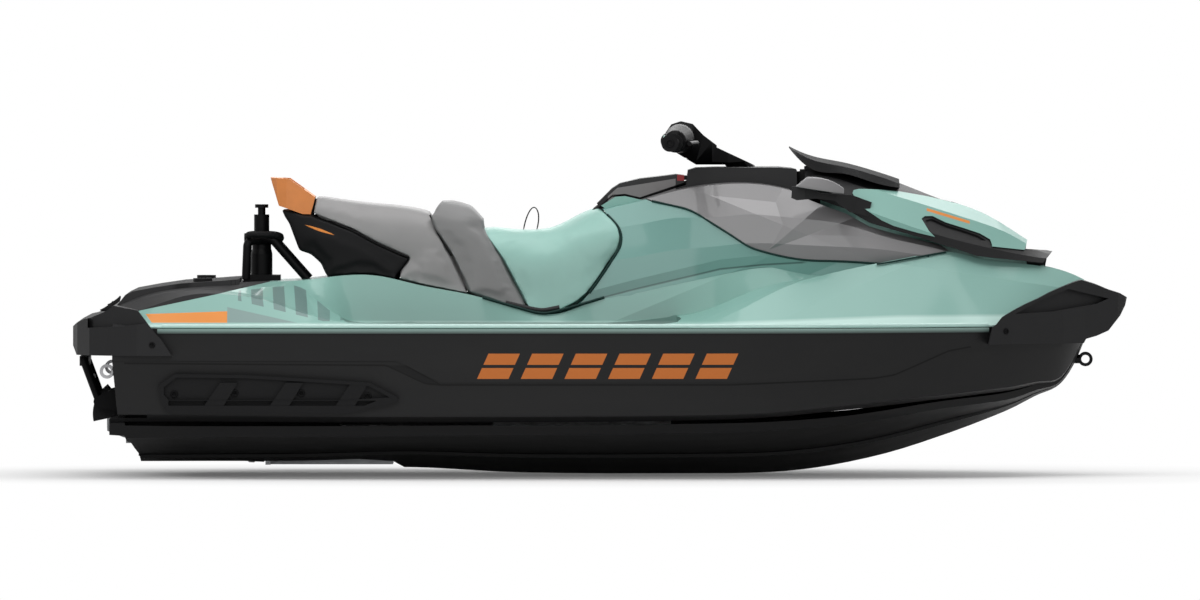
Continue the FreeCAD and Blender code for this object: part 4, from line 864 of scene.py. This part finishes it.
# %% Instrument display
DIAL_X, DIAL_Z = 0.6262, 0.656
BEZEL_SIZE = (0.0036, 0.158, 0.056)
RING_IN, RING_OUT, TICKS_A_RADIAN = 0.0165, 0.0195, 6.3662
bezel = start("cube", (DIAL_X, 0, DIAL_Z), BEZEL_SIZE)
pick(bezel, lambda c, n: n.x < -0.9)
sink(0.006, (0.0012, 0, 0))
screen = taken_off(bezel)
applied(bezel, "BEVEL", width=0.001, segments=2, limit_method="ANGLE")
applied(screen, "SOLIDIFY", thickness=0.0006, offset=1.0)
display = Finish("display", linear(12, 16, 20), 0.12, Emission_Strength=0.7, Coat_Weight=0.5)
x, y, z = display.axes()
up = z - DIAL_Z
radius = (y * y + up * up).math("SQRT")
turn = up.math("ARCTAN2", y)
ticks = (turn * TICKS_A_RADIAN).from_middle().above(0.42, 0.03) + radius.above(0.0188)
dial = radius.between(RING_IN, RING_OUT) * ticks * (turn + 1.57).size().above(0.6)
needle = (up * 0.5 - y * 0.866).size().below(0.0005, 0.0003) * radius.below(0.0155) * up.above(0.0)
side_bar = (y.size() - 0.05).size().below(0.014) * (up * 190.0).from_middle().below(0.3, 0.08)
side_bar = side_bar * up.size().below(0.0135)
lit = (dial + needle + side_bar).least(1.0)
display.set("Emission Color", display.blend(lit, (0.0, 0.0, 0.0), linear(150, 214, 206)))
display.uneven(0.1, 0.08, 30.0, 4.0)
finished("display_bezel", bezel, black_plastic, "hood")
finished("display_screen", screen, display, "hood")

# %% [markdown]
# The grab strap is one loop of webbing, sewn under the seat cover at both feet. It is a ribbon: a short
# strip whose leading edge is extruded along the loop, thickened and smoothed. Straps are modelled directly,
# because a remesh would close them up.

# %% Seat strap
LOOP = [(-0.2445, 0.498), (-0.2405, 0.52), (-0.2325, 0.545), (-0.2225, 0.564), (-0.211, 0.5735),
        (-0.2005, 0.564), (-0.1955, 0.545), (-0.1975, 0.518), (-0.203, 0.498)]
STRAP_WIDTH, STRAP_THICK = 0.028, 0.0045
(x0, z0), (x1, z1) = LOOP[:2]
middle_x, middle_z = (x0 + x1) / 2, (z0 + z1) / 2
strap = start("plane", (middle_x, 0, middle_z), (x1 - x0, STRAP_WIDTH, 1))
pull(strap, lambda c: c.x < middle_x, (0, 0, z0 - middle_z))
pull(strap, lambda c: c.x > middle_x, (0, 0, z1 - middle_z))
marked(strap, "VERT", lambda corner: abs(corner.co.x - x1) < 0.0005)
for (xa, za), (xb, zb) in zip(LOOP[1:], LOOP[2:]):
    extrude((xb - xa, 0, zb - za))
bpy.ops.mesh.select_all(action="SELECT")
bpy.ops.mesh.normals_make_consistent(inside=False)
mode("OBJECT")
applied(strap, "SOLIDIFY", thickness=STRAP_THICK, offset=0.0)
applied(strap, "SUBSURF", levels=2, render_levels=2)
smooth_under(40)
finished("grab_strap", strap, webbing)
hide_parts("seat_strap")

# %% [markdown]
# A rounded bead runs along the bond line, over the pale stripe, where deck and hull are glued. It catches
# the light as one long bright edge, and its paint is a lighter teal than the deck's, a painted highlight. It
# is a smooth path along the widest part of the deck with a round section, made a mesh.


# %% Bond line bead
def cord_through(spots, radius, steps=5, rounding=2):
    """A round cord along a smooth path, which has five points or more."""
    spots = spots + [spots[-1]] * (5 - len(spots))
    alone()
    bpy.ops.curve.primitive_nurbs_path_add()
    path = bpy.context.object
    line = path.data.splines[0]
    line.points.add(len(spots) - len(line.points))
    for point, spot in zip(line.points, spots):
        point.co = (*spot, 1.0)
    line.use_endpoint_u = True
    line.order_u = 3
    line.resolution_u = steps
    path.data.bevel_depth, path.data.bevel_resolution = radius, rounding
    path.data.use_fill_caps = True
    bpy.ops.object.convert(target="MESH")
    return bpy.context.object


BEAD_Z, BEAD_OUT = 0.2065, 0.006
BEAD = [(-1.372, 0.594), (-1.3, 0.598), (-1.0, 0.606), (-0.6, 0.61), (0.0, 0.612), (0.3, 0.604),
        (0.6, 0.572), (0.8, 0.526), (1.0, 0.458), (1.15, 0.39), (1.212, 0.356)]
beads = []
for flank in FLANKS:
    spots = [(along, flank * (wide + BEAD_OUT), BEAD_Z) for along, wide in BEAD]
    beads.append(cord_through(spots, 0.0075, 8, 3))
# Painted highlight: the bead's paint is a lighter teal than the deck's.
bead_highlight_paint = painted("bead_highlight_paint", linear(186, 220, 212), linear(176, 212, 203), 0.3, 0.8)
joined("bond_line_bead", beads, bead_highlight_paint)

# %% [markdown]
# On the real craft a cover closes the steering column, and slopes down in front of it. The frame's column
# head stands through that slope, so the bars are copied, and a wedge with a sloping underside cuts the head
# off.

# %% Column cover
bars_trimmed = copy_of("handlebar_trimmed", node["handlebar"])
CUT_X, CUT_Z = 0.43, 0.78
CUT_SIZE = (0.13, 0.12, 0.08)
REAR_RISE, FRONT_DROP = 0.0195, -0.0415
wedge = start("cube", (CUT_X, 0, CUT_Z), CUT_SIZE)
pull(wedge, lambda c: c.z < CUT_Z and c.x < CUT_X, (0, 0, REAR_RISE))
pull(wedge, lambda c: c.z < CUT_Z and c.x > CUT_X, (0, 0, FRONT_DROP))
applied(bars_trimmed, "BOOLEAN", object=wedge, operation="DIFFERENCE", solver="EXACT")
bpy.data.objects.remove(wedge)
smooth_under(30)
finished("handlebar_trimmed", bars_trimmed, black_metal, "handlebar")
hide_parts("handlebar")

# %% [markdown]
# Where two panels meet, the joint shows as a dark line 6 to 8 mm wide, and a dark teal cord stands in for
# the shade there: a painted shadow. It follows a smooth path whose points are found by rays from the side,
# so it lies on the surface, half sunk in it.


# %% Panel joint shadows
# Painted shadow: these dark teal cords stand in for the shade in the panel joints.
joint_shadow_rubber = moulded("joint_shadow_rubber", linear(20, 48, 44), 0.6, 900.0, 0.2, 0.15)


def seam(target, route, radius, nudge=(0.0, 0.0)):
    """A round cord on both flanks along a line of the side view."""
    cords = []
    for flank in FLANKS:
        found = [beside(target, at + nudge[0], z + nudge[1], flank) for at, z in route]
        spots = [(at, spot[0].y + flank * 0.001, z) for (at, z), spot in zip(route, found) if spot]
        cords.append(cord_through(spots, radius))
    return cords


def twin_cords(line, wide, radius):
    """The same cord on both sides of the middle plane, at one distance from it."""
    return [cord_through([(at, flank * wide, z) for at, z in line], radius) for flank in FLANKS]


SEAT_EDGE = [(-0.013, 0.576), (0.02, 0.549), (0.046, 0.524), (0.059, 0.503), (0.0645, 0.483), (0.063, 0.46),
             (0.0575, 0.442), (0.033, 0.404), (-0.005, 0.347), (-0.037, 0.303), (-0.073, 0.272)]
FAIRING_EDGE = [(0.128, 0.603), (0.161, 0.592), (0.237, 0.576), (0.274, 0.567), (0.312, 0.548),
                (0.35, 0.5225), (0.388, 0.4995), (0.426, 0.4745), (0.464, 0.4495), (0.501, 0.4365),
                (0.577, 0.4175), (0.653, 0.4065), (0.754, 0.4055), (0.86, 0.3985), (0.918, 0.3955),
                (0.956, 0.4025), (1.03, 0.4195)]
SEAT_FOOT = [(-0.372, 0.29), (-0.3, 0.269), (-0.24, 0.252), (-0.198, 0.2405), (-0.15, 0.2405),
             (-0.105, 0.2545), (-0.0725, 0.269), (0.01, 0.2905)]
BOW_EDGE = [(0.866, 0.3965), (0.905, 0.402), (0.94, 0.4085), (0.985, 0.4165), (1.035, 0.425),
            (1.083, 0.433)]
joint_shadow_cords = seam("body_side", SEAT_EDGE, 0.0038, (0.004, 0.0))
joint_shadow_cords += seam("fairing", FAIRING_EDGE, 0.0034, (0.0, 0.004))
joint_shadow_cords += seam("deck", SEAT_FOOT, 0.0042, (0.0, -0.006)) + seam("deck", BOW_EDGE, 0.0028, (0.0, -0.006))
joined("panel_joint_shadows", joint_shadow_cords, joint_shadow_rubber)

# %% [markdown]
# Inside, soft seals close the joints under the lid, the hood and the seat, so that no light shows through
# from side to side. They are plain cords along the joints. The one under the saddle lies just inside the
# deck's flank.

# %% Seals under lid, hood and seat
SEAL, WIDE_SEAL = 0.0065, 0.008
LID_SIDE, HOOD_SIDE, HANDLE_SIDE, SEAT_SIDE = 0.055, 0.02, 0.06, 0.05
LID_RIM = [(-0.024, 0.559), (-0.012, 0.569), (0.000, 0.578), (0.022, 0.595), (0.05, 0.606), (0.082, 0.6105),
           (0.15, 0.623), (0.2, 0.632), (0.24, 0.64), (0.268, 0.648), (0.285, 0.652)]
joined("lid_seal", twin_cords(LID_RIM, LID_SIDE, SEAL), tunnel_black)
COWL = [(0.6225, 0.64), (0.6225, 0.652), (0.6225, 0.664), (0.6225, 0.676), (0.6225, 0.684)]
TAIL = [(1.325, 0.401), (1.34, 0.3985), (1.355, 0.396), (1.37, 0.3935), (1.385, 0.3905)]
MIRROR_FOOT = [(0.64, 0.6), (0.655, 0.597), (0.67, 0.593), (0.685, 0.589), (0.7, 0.585)]
seals = [cord for line in (COWL, TAIL, MIRROR_FOOT) for cord in twin_cords(line, HOOD_SIDE, SEAL)]
joined("hood_seals", seals, tunnel_black)
HANDLE_JOINT = [(-0.9135, 0.54), (-0.9105, 0.552), (-0.906, 0.568), (-0.9015, 0.584), (-0.8975, 0.597)]
BASE_JOINT = [(-0.645, 0.345), (-0.637, 0.362), (-0.627, 0.378), (-0.617, 0.394), (-0.607, 0.408)]
NOSE_JOINT = [(-0.04, 0.545), (-0.02, 0.555), (0.000, 0.564), (0.015, 0.57), (0.03, 0.574)]
SADDLE_FOOT = [(-0.3, 0.2725), (-0.265, 0.264), (-0.238, 0.2575), (-0.205, 0.25), (-0.17, 0.249),
               (-0.13, 0.258)]
SADDLE_RAY, SADDLE_IN = 0.23, 0.03
seat_cords = twin_cords(HANDLE_JOINT, HANDLE_SIDE, SEAL)
for flank in FLANKS:
    wide = [beside("deck", at, SADDLE_RAY, flank) for at, z in SADDLE_FOOT]
    foot = [(at, found[0].y - flank * SADDLE_IN, z) for (at, z), found in zip(SADDLE_FOOT, wide) if found]
    seat_cords.append(cord_through(foot, WIDE_SEAL))
for line in (BASE_JOINT, NOSE_JOINT):
    seat_cords += twin_cords(line, SEAT_SIDE, WIDE_SEAL)
joined("seat_seals", seat_cords, tunnel_black)

# %% [markdown]
# The seat has piping in its seams, sewn in as a round cord. It follows the rear cushion by rays, as the
# joint shadow cords do.

# %% Seat piping
REAR_EDGE = [(-0.9, 0.546), (-0.861, 0.531), (-0.785, 0.502), (-0.711, 0.461), (-0.635, 0.427),
             (-0.603, 0.416)]
STRAP_EDGE = [(-0.538, 0.548), (-0.521, 0.5), (-0.471, 0.42), (-0.416, 0.304)]
piping = seam(rear_pad, REAR_EDGE, 0.0034, (0.0, 0.006)) + seam(rear_pad, STRAP_EDGE, 0.0022, (-0.006, 0.0))
joined("seat_piping", piping, black_vinyl)

# %% [markdown]
# A spotter who rides backwards holds two grips on the pylon. Each is a loop of rubber-covered tube that
# leaves the pylon's head, runs forward and comes back to the front leg.

# %% Pylon grips
GRIP_LOOP = [(-1.098, 0.016, 0.47), (-1.112, 0.04, 0.48), (-1.112, 0.07, 0.485), (-1.085, 0.082, 0.486),
             (-1.045, 0.082, 0.486), (-1.012, 0.07, 0.482), (-1.008, 0.045, 0.47), (-1.02, 0.016, 0.458)]
loops = [cord_through([(at, flank * wide, z) for at, wide, z in GRIP_LOOP], 0.01) for flank in FLANKS]
joined("pylon_grips", loops, grip_rubber)

# %% [markdown]
# Two small cleats on the stern corners take a mooring line. One is a block with its ends drawn out and
# tapered.

# %% Mooring cleats
CLEAT_X, CLEAT_OUT = -1.54, 0.47
CLEAT_SIZE = (0.022, 0.016, 0.014)
HORN_STEPS = [(0.008, 0.7), (0.006, 0.6)]
cleats = []
for flank in FLANKS:
    found = hit("stern_bumper", (CLEAT_X, flank * CLEAT_OUT, 0.6), (0, 0, -1))
    if found:
        at = found[0]
        cleat = start("cube", (at.x, at.y, at.z + 0.005), CLEAT_SIZE)
        for way in (-1, 1):
            for reach, slim in HORN_STEPS:
                edge = max(way * v.co.x for v in cleat.data.vertices)
                pick(cleat, lambda c, n: way * n.x > 0.5 and way * c.x > edge - 0.002)
                draw_out((way * reach, 0, 0.0035), (1, slim, slim))
        slope = Matrix.Rotation(math.atan2(found[1].x, found[1].z), 4, "Y")
        cleat.data.transform(Matrix.Translation(at) @ slope @ Matrix.Translation(-at))
        applied(cleat, "BEVEL", width=0.0015, segments=2, limit_method="ANGLE")
        applied(cleat, "SUBSURF", levels=1, render_levels=1)
        smooth_under(50)
        cleats.append(cleat)
joined("mooring_cleats", cleats, fitting_plastic)

# %% [markdown]
# The studio: a pale floor just under the keel, soft lamps above, in front and behind, and a white world for
# the camera and for mirrors. The picture was taken from far away with a long lens, almost level.

# %% Floor, lights and camera
FLOOR_Z, FLOOR_REACH = cad_low.z - 0.004, 14.0
SHADOW_REACH, SHADOW_FADE = 0.72, 0.9
alone()
bpy.ops.mesh.primitive_circle_add(vertices=96, radius=FLOOR_REACH, fill_type="NGON", location=(0, 0, FLOOR_Z))
floor = bpy.context.object
floor.name = "studio_floor"
floor_white = Finish("floor_white", (0.86, 0.86, 0.86), 0.9)
floor_white.uneven(0.85, 0.1, 3.0)
floor_tree = floor_white.tree
seen = floor_white.put("ShaderNodeLightPath", output="Is Camera Ray")
glow = floor_white.put("ShaderNodeEmission", {"Color": (1, 1, 1, 1), "Strength": 1.0})
x, y, z = floor_white.axes()
far = ((x * x * 0.4 + y * y).math("SQRT") - SHADOW_REACH) / SHADOW_FADE
shaded = Wire(floor_white, floor_white.shader.outputs[0])
veil = floor_white.put("ShaderNodeMixShader", {0: seen * far.within(0.1, 1.0), 1: shaded, 2: glow})
floor_tree.links.new(veil.socket, floor_tree.nodes["Material Output"].inputs["Surface"])
floor.data.materials.append(floor_white.material)

world = bpy.data.worlds.new("studio_world")
world.use_nodes = True
bpy.context.scene.world = world
sky = world.node_tree
link = sky.links.new
back = sky.nodes["Background"]
rays = sky.nodes.new("ShaderNodeLightPath")
seen_by = rays.outputs["Is Camera Ray"]
for kind in ("Is Transmission Ray", "Is Glossy Ray"):
    either = sky.nodes.new("ShaderNodeMath")
    either.operation = "MAXIMUM"
    link(seen_by, either.inputs[0])
    link(rays.outputs[kind], either.inputs[1])
    seen_by = either.outputs[0]
level = sky.nodes.new("ShaderNodeMapRange")
level.inputs["To Min"].default_value = 0.3
level.inputs["To Max"].default_value = 1.0
link(seen_by, level.inputs["Value"])
link(level.outputs[0], back.inputs["Strength"])
back.inputs["Color"].default_value = (1, 1, 1, 1)


def softbox(name, at, aim, width, height, power):
    """A rectangular lamp that faces a point."""
    lamp = bpy.data.lights.new(name, "AREA")
    lamp.shape, lamp.size, lamp.size_y, lamp.energy = "RECTANGLE", width, height, power
    holder = bpy.data.objects.new(name, lamp)
    holder.location = at
    holder.rotation_euler = (Vector(aim) - Vector(at)).to_track_quat("-Z", "Y").to_euler()
    bpy.context.scene.collection.objects.link(holder)


softbox("overhead_light", (0.2, -0.4, 4.2), (0, 0, 0), 6.5, 3.0, 160)
softbox("front_light", (-1.5, -6.5, 2.6), (0, 0, 0.2), 6.0, 2.4, 125)
softbox("back_light", (1.0, 5.0, 3.0), (0, 0, 0.4), 5.0, 2.0, 80)

FRAME_WIDTH = 3.785
FRAME_X, FRAME_Z = -0.003, 0.278
LENS, SENSOR = 600.0, 36.0
ELEVATION = math.radians(1.0)
reach = FRAME_WIDTH * LENS / SENSOR
eye = bpy.data.cameras.new("camera")
eye.lens, eye.sensor_width, eye.clip_end = LENS, SENSOR, 200.0
camera = bpy.data.objects.new("camera", eye)
camera.location = (FRAME_X, -reach * math.cos(ELEVATION), FRAME_Z + reach * math.sin(ELEVATION))
camera.rotation_euler = (math.pi / 2 - ELEVATION, 0, 0)
bpy.context.scene.collection.objects.link(camera)
bpy.context.scene.camera = camera
bpy.context.scene.view_settings.view_transform = "Standard"
print("camera", round(reach, 2), "m away, floor at", round(FLOOR_Z, 3))
